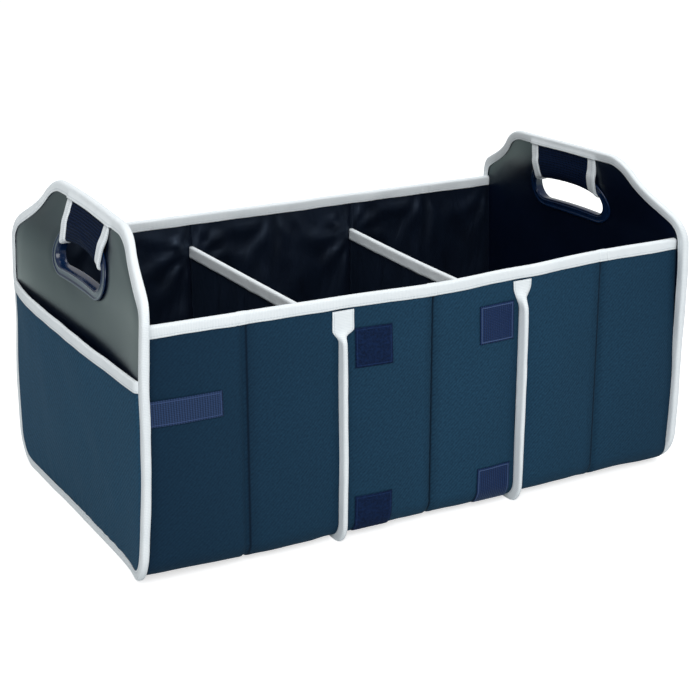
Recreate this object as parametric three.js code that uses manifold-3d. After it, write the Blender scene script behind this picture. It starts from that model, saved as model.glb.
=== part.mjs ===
// Collapsible car trunk organizer: open compartments in a row between two taller end panels
// with carry handles.
// Millimetres. X runs along the row, -Y is the front, Z is up, the origin is on the floor at the middle.
// The walls are fabric over stiff boards, and every raw edge is bound in white tape.
import * as THREE from "three";
import { mergeVertices } from "three/addons/utils/BufferGeometryUtils.js";
import Module from "manifold-3d";

const wasm = await Module();
wasm.setup();

// Overall sizes
const length = 600; // over the tape of the end panels
const wallsWidth = 342; // over the outer fabric of the front and back walls, at their seams
const endWidth = 370; // over the tape of one end panel
const wallHeight = 250;
const crownRise = 70; // from the top of the walls to the top of an end panel
const dividerDrop = 39; // from the top of the walls to the top of a divider
const compartments = 3;

// Sheet thicknesses
const fabric = 1;
const lining = 0.8;
const vinyl = 0.8;
const tape = 0.9;
const wallBoard = 2;
const endBoard = 2.6;
const dividerBoard = 3;
const baseBoard = 4;
const patchThickness = 1.3;
const padThickness = 3.5;

// Clearances
const seat = 0.3; // between pieces that touch
const layerGap = 0.5; // between bowed layers
const flapGap = 2; // between a floor flap and what stands round it

// Walls and floor
const floorHeight = 2.5; // underside of the floor fabric: it hangs just clear of the ground
const floorRadius = 20; // where a wall turns into the floor
const flapCorner = 6; // radius of a floor flap's corners
const wallBow = 4.5; // how far half a panel bellies out between its seams
const lowerBow = 0.6; // share of that belly left where the wall meets the floor bend
const boardMargin = 4; // from a seam to the board beside it
const bowRows = 3;
const cornerSteps = 4;
const bowSteps = 4; // along half a panel

// White tape
const tapeWidth = 12.5;
const finReach = 10; // how far the taped seam beside a divider stands out
const finTopReach = 4;
const finTaper = 26;
const tabWidth = 25; // the tape's flared top end, sewn flat on the wall
const tabHeight = 30;
const tabFlare = 3; // power of the curve by which that end widens

// End panel outline
const endCornerRadius = 38;
const shoulderDrop = 2; // from the top of the walls to where the panel turns into its shoulder
const shoulderRadius = 30;
const shoulderSlope = 27; // degrees above level where the shoulder ends
const crownHalf = 82; // half of the level top edge
const crownRadius = 50;
const crownSlope = 46;
const leanSlope = 0.3; // above the shoulder the panel leans in
const leanBend = 25; // height over which it bends

// Handles
const handLength = 116;
const handHeight = 30;
const handDrop = 54.5; // from the top of the panel to the middle of the hand hole
const handArch = 4; // how far the hand hole droops at its ends
const handCrown = 2; // extra droop of its upper edge
const flangeWidth = 11;
const flangeThickness = 2.5;
const flangeBevel = 0.8;
const sleeve = 1.6;
const gripWidth = 110; // over the two side tapes of the padded grip
const gripClear = 3; // from the flange to where the grip steps out over it
const gripSettle = 4; // height of that step

// End pockets
const pocketDrop = 45; // from the top of the walls to the pocket's edge at the sides
const pocketSag = 3;
const pocketBelly = 12;
const pocketStandoff = 1.4;
const pocketFullness = 1.6; // how much steeper than a straight slope the belly starts at the bottom

// Hook and loop pieces
const patchSize = 40;
const patchDrop = 32; // from the top of the walls to the upper patches
const loopSeam = 11; // loop patches start this far from the seam tape
const hookSeam = 5; // and hook patches this far from theirs
const lowerPatchTop = 46; // above the ground
const stripLength = 70;
const stripHeight = 25;
const stripDrop = 69;

// Derived places
const endHeight = wallHeight + crownRise;
const dividerHeight = wallHeight - dividerDrop;
const shoulderHeight = wallHeight - shoulderDrop;
const handCentre = endHeight - handDrop;
const pocketHeight = wallHeight - pocketDrop;
const patchTop = wallHeight - patchDrop;
const stripTop = wallHeight - stripDrop;
const pitch = length / compartments;
const halfPanel = pitch / 2;
const boardDepth = fabric + layerGap; // depths below the outer fabric
const liningDepth = boardDepth + wallBoard + layerGap;
const wallThickness = liningDepth + lining;
const skinDepth = tape + seat; // depths below the outer face of an end panel's tape
const endBoardDepth = skinDepth + vinyl + seat;
const innerSkinDepth = endBoardDepth + endBoard + seat;
const endFaceDepth = innerSkinDepth + vinyl;
const endThickness = endFaceDepth + seat + tape;
const innerRimDepth = endFaceDepth + seat;
const innerEnd = length / 2 - endFaceDepth - seat; // where the walls stop at an end panel
const cornerTop = floorHeight + floorRadius;
const bowTop = wallHeight - tapeWidth;
const clothTop = wallHeight - tape - seat;
const finTop = bowTop - seat;
const finHalf = seat / 2 + fabric + seat + tape;
const liningHalf = wallsWidth / 2 - wallThickness; // half the clear width between the linings
const flapBottom = floorHeight + wallThickness + layerGap;
const taperEnd = finTop - finTaper;

const clamp = THREE.MathUtils.clamp;
const lerp = THREE.MathUtils.lerp;
const radians = THREE.MathUtils.degToRad;

// Materials
const cloth = (name, color, roughness) =>
  new THREE.MeshStandardMaterial({ name, color, roughness, metalness: 0 });
const navyFabric = cloth("navy_polyester", 0x22384f, 0.85);
const nylonLining = cloth("black_nylon", 0x0d0f1c, 0.45);
const navyVinyl = cloth("navy_vinyl", 0x141c2c, 0.35);
const whiteTape = cloth("white_tape", 0xe9eef1, 0.8);
const greyCard = cloth("grey_card", 0x6f6a60, 0.9);
const navyPlastic = cloth("navy_plastic", 0x152c4a, 0.25);
const meshPad = cloth("mesh_padding", 0x10192f, 0.9);
const loopPile = cloth("loop_pile", 0x14234a, 0.95);
const hookTape = cloth("hook_tape", 0x263a63, 0.7);

function toSolid(geometry) {
  const bare = geometry.clone();
  bare.deleteAttribute("normal");
  bare.deleteAttribute("uv");
  const merged = mergeVertices(bare, 1e-4);
  const vertProperties = merged.attributes.position.array;
  return new wasm.Manifold(new wasm.Mesh({ numProp: 3, vertProperties, triVerts: merged.index.array }));
}

function toGeometry(solid) {
  const mesh = solid.getMesh();
  return new THREE.BufferGeometry()
    .setAttribute("position", new THREE.BufferAttribute(mesh.vertProperties, 3))
    .setIndex(new THREE.BufferAttribute(mesh.triVerts, 1));
}

function cutAway(geometry, ...tools) {
  return toGeometry(tools.reduce((left, tool) => left.subtract(toSolid(tool)), toSolid(geometry)));
}

function joinUp(geometry, ...others) {
  return toGeometry(others.reduce((whole, other) => whole.add(toSolid(other)), toSolid(geometry)));
}

function moveVertices(geometry, place) {
  const position = geometry.attributes.position;
  for (let i = 0; i < position.count; i++) {
    position.setXYZ(i, ...place(position.getX(i), position.getY(i), position.getZ(i)));
  }
  return geometry;
}

// A box divided into steps, each of whose points is placed by its shares from 0 to 1 along X, Y and Z.
function bentBox(stepsX, stepsY, stepsZ, place) {
  const box = new THREE.BoxGeometry(1, 1, 1, stepsX, stepsY, stepsZ);
  return moveVertices(box, (x, y, z) => place(x + 0.5, y + 0.5, z + 0.5));
}

// A sheet whose two faces share one grid, so it keeps its thickness where it bellies.
// Seen from outside, column i counts to the right and row j counts down.
function sheet(columns, rows, outer, inner) {
  const grid = new THREE.PlaneGeometry(1, 1, columns, rows);
  const count = grid.attributes.position.count;
  const points = [];
  for (const face of [outer, inner]) {
    for (let j = 0; j <= rows; j++) {
      for (let i = 0; i <= columns; i++) points.push(...face(i, j));
    }
  }
  const index = [...grid.index.array];
  for (let t = index.length - 3; t >= 0; t -= 3) {
    const [a, b, c] = index.slice(t, t + 3);
    index.push(count + a, count + c, count + b);
  }
  const at = (i, j) => j * (columns + 1) + i;
  const rim = [];
  for (let j = 0; j < rows; j++) rim.push(at(0, j));
  for (let i = 0; i < columns; i++) rim.push(at(i, rows));
  for (let j = rows; j > 0; j--) rim.push(at(columns, j));
  for (let i = columns; i > 0; i--) rim.push(at(i, 0));
  rim.forEach((a, k) => {
    const b = rim[(k + 1) % rim.length];
    index.push(a, a + count, b + count, a, b + count, b);
  });
  return new THREE.BufferGeometry()
    .setAttribute("position", new THREE.Float32BufferAttribute(points, 3))
    .setIndex(index);
}

// An outline in the Y-Z plane, drawn out along X.
function drawnAlongX(shape, from, to) {
  const block = new THREE.ExtrudeGeometry(shape, { depth: to - from, bevelEnabled: false });
  return moveVertices(block, (y, z, x) => [from + x, y, z]);
}

// An outline in the X-Z plane, drawn out along Y.
function drawnAlongY(shape, from, to) {
  const block = new THREE.ExtrudeGeometry(shape, { depth: to - from, bevelEnabled: false });
  return moveVertices(block, (x, z, y) => [x, to - y, z]);
}

// Walls and floor

// How far the wall cloth bellies out: nothing at the seams and under the top tape.
function bow(x, z) {
  const panel = Math.floor(x / halfPanel);
  const from = Math.max(panel * halfPanel, -innerEnd);
  const to = Math.min((panel + 1) * halfPanel, innerEnd);
  const across = Math.sin(Math.PI * clamp((x - from) / (to - from), 0, 1));
  const low = Math.asin(lowerBow);
  const drop = clamp((bowTop - z) / (bowTop - cornerTop), 0, 1);
  const rise = clamp((z - floorHeight) / floorRadius, 0, 1);
  return wallBow * across * Math.sin((Math.PI - low) * drop) * rise;
}

const bowed = (x, y, z) => [x, y + Math.sign(y) * bow(x, z), z];

// The heights at which the layers of a wall have a row of points, from the top down.
function bowLevels() {
  const levels = [bowTop, taperEnd];
  for (let i = 1; i <= bowRows; i++) levels.push(lerp(bowTop, cornerTop, i / bowRows));
  return levels.sort((a, b) => b - a);
}

// The section of walls and floor as a line from the front top to the back top.
// side and floor are distances inside the outer fabric, and negative ones lie outside it.
function troughLine(side, floor, top) {
  const levels = [top, ...bowLevels().filter((z) => z < top - seat)];
  const front = levels.map((z) => new THREE.Vector2(side(z) - wallsWidth / 2, z));
  const turnX = floorRadius - side(cornerTop);
  const turnZ = floorRadius - floor;
  const turn = new THREE.EllipseCurve(
    floorRadius - wallsWidth / 2, cornerTop, turnX, turnZ, Math.PI, 1.5 * Math.PI);
  front.push(...turn.getPoints(cornerSteps).slice(1));
  const back = front.map((p) => new THREE.Vector2(-p.x, p.y)).reverse();
  return [...front, ...back];
}

// A U-shaped band between two trough lines.
function troughBand(outer, inner, from, to) {
  return drawnAlongX(new THREE.Shape([...outer, ...inner.reverse()]), from, to);
}

// A layer of cloth along a whole compartment, with its steps counted from the fold in its middle.
function troughCloth(depth, thickness, index) {
  const { from, to } = sectionSpan(index);
  const fold = (index + 0.5) * pitch - length / 2;
  const along = (i) => (i < bowSteps ? lerp(from, fold, i / bowSteps) : lerp(fold, to, i / bowSteps - 1));
  const face = (inside) => {
    const line = troughLine(evenly(inside), inside, clothTop);
    return (i, j) => bowed(along(i), line[j].x, line[j].y);
  };
  const rows = troughLine(evenly(depth), depth, clothTop).length - 1;
  return sheet(2 * bowSteps, rows, face(depth), face(depth + thickness));
}

const evenly = (depth) => () => depth;
const reachAt = (z) => lerp(finTopReach, finReach, clamp((finTop - z) / finTaper, 0, 1));

// The edges of one compartment's cloth along X, and which of them are seams beside a divider.
function sectionSpan(index) {
  const first = index === 0;
  const last = index === compartments - 1;
  const from = first ? -innerEnd : index * pitch - length / 2 + seat / 2;
  const to = last ? innerEnd : (index + 1) * pitch - length / 2 - seat / 2;
  return { from, to, first, last };
}

// The outer fabric, with the seam allowances that stand out inside the white tape.
function sectionOuter(index) {
  const { from, to, first, last } = sectionSpan(index);
  const allowance = (start) => troughBand(
    troughLine((z) => tape + seat - reachAt(z), tape + seat - floorHeight, finTop),
    troughLine(evenly(fabric / 2), fabric / 2, finTop), start, start + fabric);
  const flanges = [];
  if (!first) flanges.push(allowance(from));
  if (!last) flanges.push(allowance(to - fabric));
  return joinUp(troughCloth(0, fabric, index), ...flanges);
}

// A stiff board in half a wall panel. side is -1 at the front and 1 at the back.
function wallBoardPlate(side, index) {
  const start = (index - compartments) * halfPanel;
  const from = Math.max(start, -innerEnd);
  const to = Math.min(start + halfPanel, innerEnd);
  const levels = side < 0 ? bowLevels() : bowLevels().reverse();
  const face = (depth) => (i, j) => {
    const x = clamp(lerp(from, to, i / bowSteps), from + boardMargin, to - boardMargin);
    return bowed(x, side * (wallsWidth / 2 - depth), levels[j]);
  };
  return sheet(bowSteps, levels.length - 1, face(boardDepth), face(boardDepth + wallBoard));
}

// Tape folded over the top edge of a wall.
function wallTopBinding(side) {
  const outside = wallsWidth / 2 + seat + tape;
  const inside = liningHalf - seat - tape;
  const section = foldedTape(inside, outside, wallHeight).map((p) => new THREE.Vector2(side * p.x, p.y));
  return drawnAlongX(new THREE.Shape(section), -innerEnd, innerEnd);
}

// The section of a tape folded over an edge: low and high are its outer faces.
function foldedTape(low, high, top) {
  const bottom = top - tapeWidth;
  const under = top - tape;
  return [
    new THREE.Vector2(low, bottom),
    new THREE.Vector2(low + tape, bottom),
    new THREE.Vector2(low + tape, under),
    new THREE.Vector2(high - tape, under),
    new THREE.Vector2(high - tape, bottom),
    new THREE.Vector2(high, bottom),
    new THREE.Vector2(high, top),
    new THREE.Vector2(low, top),
  ];
}

// Dividers
function dividerPanel(x) {
  const depth = wallThickness + seat;
  const shape = new THREE.Shape(troughLine(evenly(depth), depth, dividerHeight - tape - seat));
  return drawnAlongX(shape, x - dividerBoard / 2, x + dividerBoard / 2);
}

function dividerTopBinding(x) {
  const half = dividerBoard / 2 + seat + tape;
  const reach = liningHalf - seat;
  return drawnAlongY(new THREE.Shape(foldedTape(x - half, x + half, dividerHeight)), -reach, reach);
}

// The flared flat end of a seam tape, on the wall just under the top tape.
function seamTab(x, side) {
  return bentBox(4, 1, 3, (u, v, w) => {
    const half = lerp(finHalf, tabWidth / 2, w ** tabFlare);
    const px = lerp(x - half, x + half, u);
    const pz = finTop - tabHeight * (1 - w);
    const outward = side < 0 ? 1 - v : v;
    return [px, side * (wallsWidth / 2 + seat + outward * tape + bow(px, pz)), pz];
  });
}

// Tape round the seam beside a divider: up the front, under the floor and up the back.
function seamBinding(x) {
  const band = troughBand(
    troughLine((z) => -reachAt(z), -floorHeight, finTop),
    troughLine(evenly(-seat - layerGap), -seat, finTop), x - finHalf, x + finHalf);
  const slotHalf = finHalf - tape;
  const slot = troughBand(
    troughLine((z) => tape - reachAt(z), tape - floorHeight, finTop + seat),
    troughLine(evenly(fabric), fabric, finTop + seat), x - slotHalf, x + slotHalf);
  return cutAway(joinUp(band, seamTab(x, -1), seamTab(x, 1)), slot);
}

// Floor flaps: a stiff covered board in each compartment, sewn along its left edge.
function floorFlap(index) {
  const { from, to } = flapSpan(index);
  const half = wallsWidth / 2 - floorRadius;
  const [left, right, across] = [from + flapCorner, to - flapCorner, half - flapCorner];
  const shape = new THREE.Shape();
  shape.absarc(right, across, flapCorner, 0, Math.PI / 2);
  shape.absarc(left, across, flapCorner, Math.PI / 2, Math.PI);
  shape.absarc(left, -across, flapCorner, Math.PI, 1.5 * Math.PI);
  shape.absarc(right, -across, flapCorner, 1.5 * Math.PI, 2 * Math.PI);
  const flap = new THREE.ExtrudeGeometry(shape, { depth: baseBoard, bevelEnabled: false, curveSegments: 3 });
  return flap.translate(0, 0, flapBottom);
}

function flapSpan(index) {
  const first = index === 0;
  const last = index === compartments - 1;
  const divider = dividerBoard / 2 + flapGap;
  const from = first ? flapGap - innerEnd : index * pitch - length / 2 + divider;
  const to = last ? innerEnd - flapGap : (index + 1) * pitch - length / 2 - divider;
  return { from, to };
}

// Hook and loop pieces sewn to the front wall. Below the bend, z goes on round it as a length of cloth.
function frontPatch(from, to, bottom, top) {
  const columns = 4;
  const rows = bottom < cornerTop ? 8 : 3;
  const face = (out) => (i, j) => {
    const x = lerp(from, to, i / columns);
    const z = lerp(top, bottom, j / rows);
    const turn = clamp((cornerTop - z) / floorRadius, 0, Math.PI / 2);
    const y = floorRadius - wallsWidth / 2 - (floorRadius + out) * Math.cos(turn);
    return bowed(x, y, turn > 0 ? cornerTop - (floorRadius + out) * Math.sin(turn) : z);
  };
  return sheet(columns, rows, face(layerGap + patchThickness), face(layerGap));
}

// End panels, made for the right end

function lean(z) {
  const bend = clamp(z - shoulderHeight, 0, leanBend);
  const straight = Math.max(z - shoulderHeight - leanBend, 0);
  return leanSlope * ((bend * bend) / (2 * leanBend) + straight);
}

const endX = (depth, z) => length / 2 - depth - lean(z);

// Half of the end panel's outline, from the floor edge to the top edge, set in by a distance.
function endOutline(inset) {
  const half = endWidth / 2;
  const quarter = Math.PI / 2;
  const shoulder = new THREE.Vector2(half - shoulderRadius, shoulderHeight);
  const crown = new THREE.Vector2(crownHalf, endHeight - crownRadius);
  const arc = (centre, radius, from, to) =>
    new THREE.EllipseCurve(centre.x, centre.y, radius, radius, from, to);
  const corner = new THREE.Vector2(half - endCornerRadius, endCornerRadius);
  const foot = arc(corner, endCornerRadius, -quarter, 0);
  const sideFrom = new THREE.Vector2(half, endCornerRadius);
  const side = new THREE.LineCurve(sideFrom, new THREE.Vector2(half, shoulderHeight));
  const shoulderArc = arc(shoulder, shoulderRadius, 0, quarter - radians(shoulderSlope));
  const crownArc = arc(crown, crownRadius, quarter - radians(crownSlope), quarter);
  const start = shoulderArc.getPoint(1);
  const end = crownArc.getPoint(0);
  const pull = start.distanceTo(end) / 3;
  const towards = (slope) => new THREE.Vector2(-Math.cos(radians(slope)), Math.sin(radians(slope)));
  const dip = new THREE.CubicBezierCurve(
    start,
    start.clone().addScaledVector(towards(shoulderSlope), pull),
    end.clone().addScaledVector(towards(crownSlope), -pull),
    end);
  const stretches = [[foot, 4], [side, 1], [shoulderArc, 3], [dip, 4], [crownArc, 3]];
  const rows = [];
  for (const [curve, steps] of stretches) {
    for (let i = rows.length ? 1 : 0; i <= steps; i++) {
      const ahead = curve.getTangent(i / steps);
      const inward = new THREE.Vector2(-ahead.y, ahead.x);
      rows.push(curve.getPoint(i / steps).addScaledVector(inward, inset));
    }
  }
  return rows;
}

// One layer of an end panel between two depths.
function endLayer(outDepth, inDepth, inset) {
  const rows = endOutline(inset);
  return bentBox(1, 1, rows.length - 1, (u, v, w) => {
    const row = rows[Math.round(w * (rows.length - 1))];
    return [endX(lerp(inDepth, outDepth, u), row.y), (2 * v - 1) * row.x, row.y];
  });
}

// The hand hole's outline, grown by a distance: a slot with round ends that droops towards them.
function handOutline(grow) {
  const radius = handHeight / 2 + grow;
  const reach = (handLength - handHeight) / 2;
  const endSteps = 6;
  const sideSteps = 4;
  const outline = [];
  for (const side of [1, -1]) {
    for (let i = 0; i <= endSteps; i++) {
      const turn = side * Math.PI * (i / endSteps - 0.5);
      outline.push(new THREE.Vector2(side * (reach + radius * Math.cos(turn)), radius * Math.sin(turn)));
    }
    for (let i = 1; i < sideSteps; i++) {
      outline.push(new THREE.Vector2(side * reach * (1 - (2 * i) / sideSteps), side * radius));
    }
  }
  return outline.map((p) => new THREE.Vector2(p.x, handCentre + p.y - droop(p.x, p.y)));
}

function droop(y, aboveCentre) {
  return (y / (handLength / 2)) ** 2 * (handArch + (handCrown * aboveCentre) / (handHeight / 2));
}

// What the hand hole takes out of every layer.
function handHoleCut() {
  const shape = new THREE.Shape(handOutline(sleeve + seat));
  const options = { depth: 3 * endThickness, bevelEnabled: false };
  const block = new THREE.ExtrudeGeometry(shape, options);
  return moveVertices(block, (y, z, out) => [endX(2 * endThickness - out, z), y, z]);
}

// Tape folded over the edge of the whole end panel. Inside, it makes way for the walls and the floor.
function endBinding() {
  const ring = endLayer(0, endThickness, 0);
  const middle = endLayer(-endThickness, 2 * endThickness, tapeWidth);
  const slot = endLayer(tape, endThickness - tape, tape);
  const wallsGap = tape + 2 * seat;
  const wallsPath = new THREE.Shape(troughLine(evenly(-wallsGap), -seat, wallHeight + seat));
  const walls = drawnAlongX(wallsPath, 0, endX(endFaceDepth + seat / 2, 0));
  return cutAway(ring, middle, slot, walls);
}

// A ring round the hand hole: its section is a list of [distance grown from the hole, depth].
function handRing(section) {
  const outlines = section.map(([grow]) => handOutline(grow));
  const around = outlines[0].length;
  const torus = new THREE.TorusGeometry(2, 1, section.length, around);
  const position = torus.attributes.position;
  for (let j = 0; j <= section.length; j++) {
    for (let i = 0; i <= around; i++) {
      const point = outlines[j % section.length][i % around];
      const depth = section[j % section.length][1];
      position.setXYZ(j * (around + 1) + i, endX(depth, point.y), point.x, point.y);
    }
  }
  return torus;
}

// A flange whose rounded front lies over the hand hole's edge. front is the depth of its highest face.
function flangeSection(hole, front, back) {
  const turn = Math.sign(back - front);
  const middle = (hole + flangeWidth) / 2;
  return [
    [hole, front + turn * flangeBevel],
    [hole + flangeBevel, front],
    [middle, front],
    [flangeWidth - flangeBevel, front],
    [flangeWidth, front + turn * flangeBevel],
    [flangeWidth, back],
    [middle, back],
  ];
}

// The handle moulding snaps together through the panel: a flange with a sleeve outside, a ring inside.
function outerRim() {
  const face = skinDepth - seat;
  const end = innerRimDepth + flangeThickness;
  const flange = flangeSection(0, face - flangeThickness, face);
  return handRing([...flange, [sleeve, face], [sleeve, end], [0, end]].reverse());
}

function innerRim() {
  const hole = sleeve + seat;
  const section = flangeSection(hole, innerRimDepth + flangeThickness, innerRimDepth);
  return handRing([...section, [hole, innerRimDepth]]);
}

// How far the hand hole's upper edge lies below its highest point, out to its round ends.
function edgeDrop(y) {
  const radius = handHeight / 2;
  const past = clamp(Math.abs(y) + radius - handLength / 2, 0, radius);
  return radius - Math.sqrt(radius ** 2 - past ** 2) + droop(y, radius);
}

// The padded grip goes down the outside, under the hand hole's upper edge and up the inside.
function gripPiece(from, to, steps) {
  const top = endHeight - tapeWidth - seat;
  const holeTop = handCentre + handHeight / 2;
  const fold = holeTop - 3 * seat;
  const clearFlange = holeTop + flangeWidth + gripClear;
  const outside = skinDepth - seat;
  const inside = endFaceDepth + seat;
  const outsideLow = outside - flangeThickness - seat;
  const insideLow = inside + flangeThickness + seat;
  const shape = new THREE.Shape();
  shape.moveTo(-outside, top);
  shape.lineTo(-outside, clearFlange + gripSettle);
  shape.lineTo(-outsideLow, clearFlange);
  shape.lineTo(-outsideLow, fold);
  shape.lineTo(-insideLow, fold);
  shape.lineTo(-insideLow, clearFlange);
  shape.lineTo(-inside, clearFlange + gripSettle);
  shape.lineTo(-inside, top);
  shape.lineTo(-inside - padThickness, top);
  shape.lineTo(-inside - padThickness, clearFlange + gripSettle);
  shape.lineTo(-insideLow - padThickness, clearFlange);
  shape.absarc(-insideLow, fold, padThickness, Math.PI, 1.5 * Math.PI, false);
  shape.absarc(-outsideLow, fold, padThickness, 1.5 * Math.PI, 2 * Math.PI, false);
  shape.lineTo(padThickness - outsideLow, clearFlange);
  shape.lineTo(padThickness - outside, clearFlange + gripSettle);
  shape.lineTo(padThickness - outside, top);
  const options = { depth: to - from, steps, bevelEnabled: false, curveSegments: 2 };
  return moveVertices(new THREE.ExtrudeGeometry(shape, options), (x, z, y) => {
    const across = to - y;
    const share = clamp((top - z) / (top - fold), 0, 1);
    const low = z - share * edgeDrop(across);
    return [endX(-x, low), across, low];
  });
}

// Half the clear width between the tape's edges at a height.
function pocketHalfWidth(rows, z) {
  const next = rows.findIndex((row) => row.y >= z);
  if (next <= 0) return rows[0].x;
  const [a, b] = [rows[next - 1], rows[next]];
  return lerp(a.x, b.x, (z - a.y) / (b.y - a.y));
}

const pocketInset = tapeWidth + seat;
const pocketTopAt = (side) => pocketHeight - tape - seat - pocketSag * (1 - side * side);

// A layer that follows the pocket's cloth from a height to another. Both are given for each place across.
function pocketLayer(rows, outDepth, inDepth, topAt, bottomAt, overhang = 0) {
  const columns = 10;
  const outline = endOutline(pocketInset);
  const crowd = 1.5; // rows come closer together towards the bottom
  const face = (depth) => (i, j) => {
    const side = (2 * i) / columns - 1;
    const z = lerp(bottomAt(side), topAt(side), (1 - j / rows) ** crowd);
    const share = clamp((z - pocketInset) / (pocketTopAt(side) - pocketInset), 0, 1);
    const rise = share * (pocketFullness - (pocketFullness - 1) * share);
    const belly = pocketBelly * (1 - side * side) * rise;
    const x = length / 2 - depth + belly + pocketStandoff * share;
    return [x, side * (pocketHalfWidth(outline, z) + overhang), z];
  };
  return sheet(columns, rows, face(outDepth), face(inDepth));
}

function pocketCloth() {
  const back = skinDepth - seat;
  return pocketLayer(6, back - fabric, back, pocketTopAt, () => pocketInset);
}

function pocketBinding() {
  const back = skinDepth - seat;
  const above = (rise) => (side) => pocketTopAt(side) + rise;
  const hem = seat + tape - tapeWidth;
  const front = back - fabric;
  const band = pocketLayer(1, front - seat - tape, back + seat + tape, above(seat + tape), above(hem));
  const slot = pocketLayer(1, front - seat, back + seat, above(seat), above(hem - seat), seat);
  return cutAway(band, slot);
}

function addMesh(group, name, geometry, material) {
  const mesh = new THREE.Mesh(geometry, material);
  mesh.name = name;
  group.add(mesh);
}

function endAssembly(side) {
  const end = new THREE.Group();
  const add = (name, geometry, material) => addMesh(end, side + "_" + name, geometry, material);
  const skin = (depth) => cutAway(endLayer(depth, depth + vinyl, skinDepth), handHoleCut());
  const board = endLayer(endBoardDepth, endBoardDepth + endBoard, skinDepth + layerGap);
  add("end_outer_skin", skin(skinDepth), navyVinyl);
  add("end_board", cutAway(board, handHoleCut()), greyCard);
  add("end_inner_skin", skin(innerSkinDepth), navyVinyl);
  add("end_binding", endBinding(), whiteTape);
  add("handle_rim_outer", outerRim(), navyPlastic);
  add("handle_rim_inner", innerRim(), navyPlastic);
  const padHalf = gripWidth / 2 - tapeWidth;
  add("grip_pad", gripPiece(-padHalf, padHalf, 6), meshPad);
  add("grip_tape_front", gripPiece(-gripWidth / 2, -padHalf - seat, 2), whiteTape);
  add("grip_tape_rear", gripPiece(padHalf + seat, gripWidth / 2, 2), whiteTape);
  add("pocket", pocketCloth(), navyFabric);
  add("pocket_binding", pocketBinding(), whiteTape);
  return end;
}

const organizer = new THREE.Group();
organizer.name = "car_trunk_organizer";

const rightEnd = endAssembly("right");
const leftEnd = endAssembly("left");
leftEnd.scale.x = -1;
organizer.add(rightEnd, leftEnd);

for (let i = 0; i < compartments; i++) {
  addMesh(organizer, `section_${i + 1}_outer`, sectionOuter(i), navyFabric);
  addMesh(organizer, `section_${i + 1}_lining`, troughCloth(liningDepth, lining, i), nylonLining);
  addMesh(organizer, `floor_flap_${i + 1}`, floorFlap(i), nylonLining);
}
for (let i = 0; i < 2 * compartments; i++) {
  addMesh(organizer, `front_board_${i + 1}`, wallBoardPlate(-1, i), greyCard);
  addMesh(organizer, `back_board_${i + 1}`, wallBoardPlate(1, i), greyCard);
}
for (let i = 1; i < compartments; i++) {
  const x = i * pitch - length / 2;
  addMesh(organizer, `divider_${i}`, dividerPanel(x), nylonLining);
  addMesh(organizer, `divider_${i}_top_binding`, dividerTopBinding(x), whiteTape);
  addMesh(organizer, `divider_${i}_seam_binding`, seamBinding(x), whiteTape);
}
addMesh(organizer, "front_top_binding", wallTopBinding(-1), whiteTape);
addMesh(organizer, "back_top_binding", wallTopBinding(1), whiteTape);

// The patches keep one middle section folded up: loop beside its left seam, hook beside its right one.
const middle = Math.floor(compartments / 2);
const leftSeam = middle * pitch - length / 2 + finHalf + seat;
const rightSeam = (middle + 1) * pitch - length / 2 - finHalf - seat;
const patch = (name, from, top, material) =>
  addMesh(organizer, name, frontPatch(from, from + patchSize, top - patchSize, top), material);
const loopFrom = leftSeam + loopSeam;
const hookFrom = rightSeam - hookSeam - patchSize;
patch("upper_loop_patch", loopFrom, patchTop, loopPile);
patch("lower_loop_patch", loopFrom, lowerPatchTop, loopPile);
patch("upper_hook_patch", hookFrom, patchTop, hookTape);
patch("lower_hook_patch", hookFrom, lowerPatchTop, hookTape);
const stripFrom = endThickness + seat - length / 2;
const strip = frontPatch(stripFrom, stripFrom + stripLength, stripTop - stripHeight, stripTop);
addMesh(organizer, "end_hook_strip", strip, hookTape);

export default organizer;
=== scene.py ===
# %% [markdown]
# # A collapsible car trunk organizer
# The real thing is sewn: navy polyester outside, thin black nylon inside, stiff card between the two, and white
# tape folded over every raw edge. Its two ends are card covered in smooth vinyl, with a moulded hand hole each.
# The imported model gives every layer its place, so this lesson only has to make each layer look like cloth,
# tape, vinyl or moulded plastic.

# %% Load the frame
import math

import bmesh
import bpy
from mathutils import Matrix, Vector, noise


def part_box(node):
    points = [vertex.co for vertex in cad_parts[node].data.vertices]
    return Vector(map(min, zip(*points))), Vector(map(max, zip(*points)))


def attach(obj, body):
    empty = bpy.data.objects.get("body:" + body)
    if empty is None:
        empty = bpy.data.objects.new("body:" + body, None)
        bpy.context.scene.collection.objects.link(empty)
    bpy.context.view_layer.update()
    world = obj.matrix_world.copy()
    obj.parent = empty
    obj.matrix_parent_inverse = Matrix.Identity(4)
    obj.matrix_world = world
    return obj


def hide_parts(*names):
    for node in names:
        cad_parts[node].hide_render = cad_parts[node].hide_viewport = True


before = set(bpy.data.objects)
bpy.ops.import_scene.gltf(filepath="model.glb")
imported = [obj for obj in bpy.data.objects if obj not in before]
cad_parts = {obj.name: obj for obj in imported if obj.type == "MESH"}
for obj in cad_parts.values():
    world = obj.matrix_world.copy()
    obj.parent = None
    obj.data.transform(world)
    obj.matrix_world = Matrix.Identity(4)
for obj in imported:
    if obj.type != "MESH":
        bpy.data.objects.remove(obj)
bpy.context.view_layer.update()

# %% [markdown]
# ## Units and small helpers
# The sewing room works in millimetres and Blender in metres, so every shape below is worked out in millimetres
# and turned into metres once, when its points are placed.

# %% Helpers for numbers
MM = 0.001


def clamp(value, low=0.0, high=1.0):
    return max(low, min(high, value))


def mix(a, b, share):
    return a + (b - a) * share


def ease(value, start, end):
    """0 before start, 1 after end, and smooth between them."""
    t = clamp((value - start) / (end - start))
    return t * t * (3 - 2 * t)


def unevenness(x, y, seed, x_size, y_size):
    """Smooth irregular cloth, from about -1 to 1, with bumps of about the sizes given."""
    return noise.noise(Vector((x / x_size, y / y_size, seed * 7.3))) * 1.6


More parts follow.
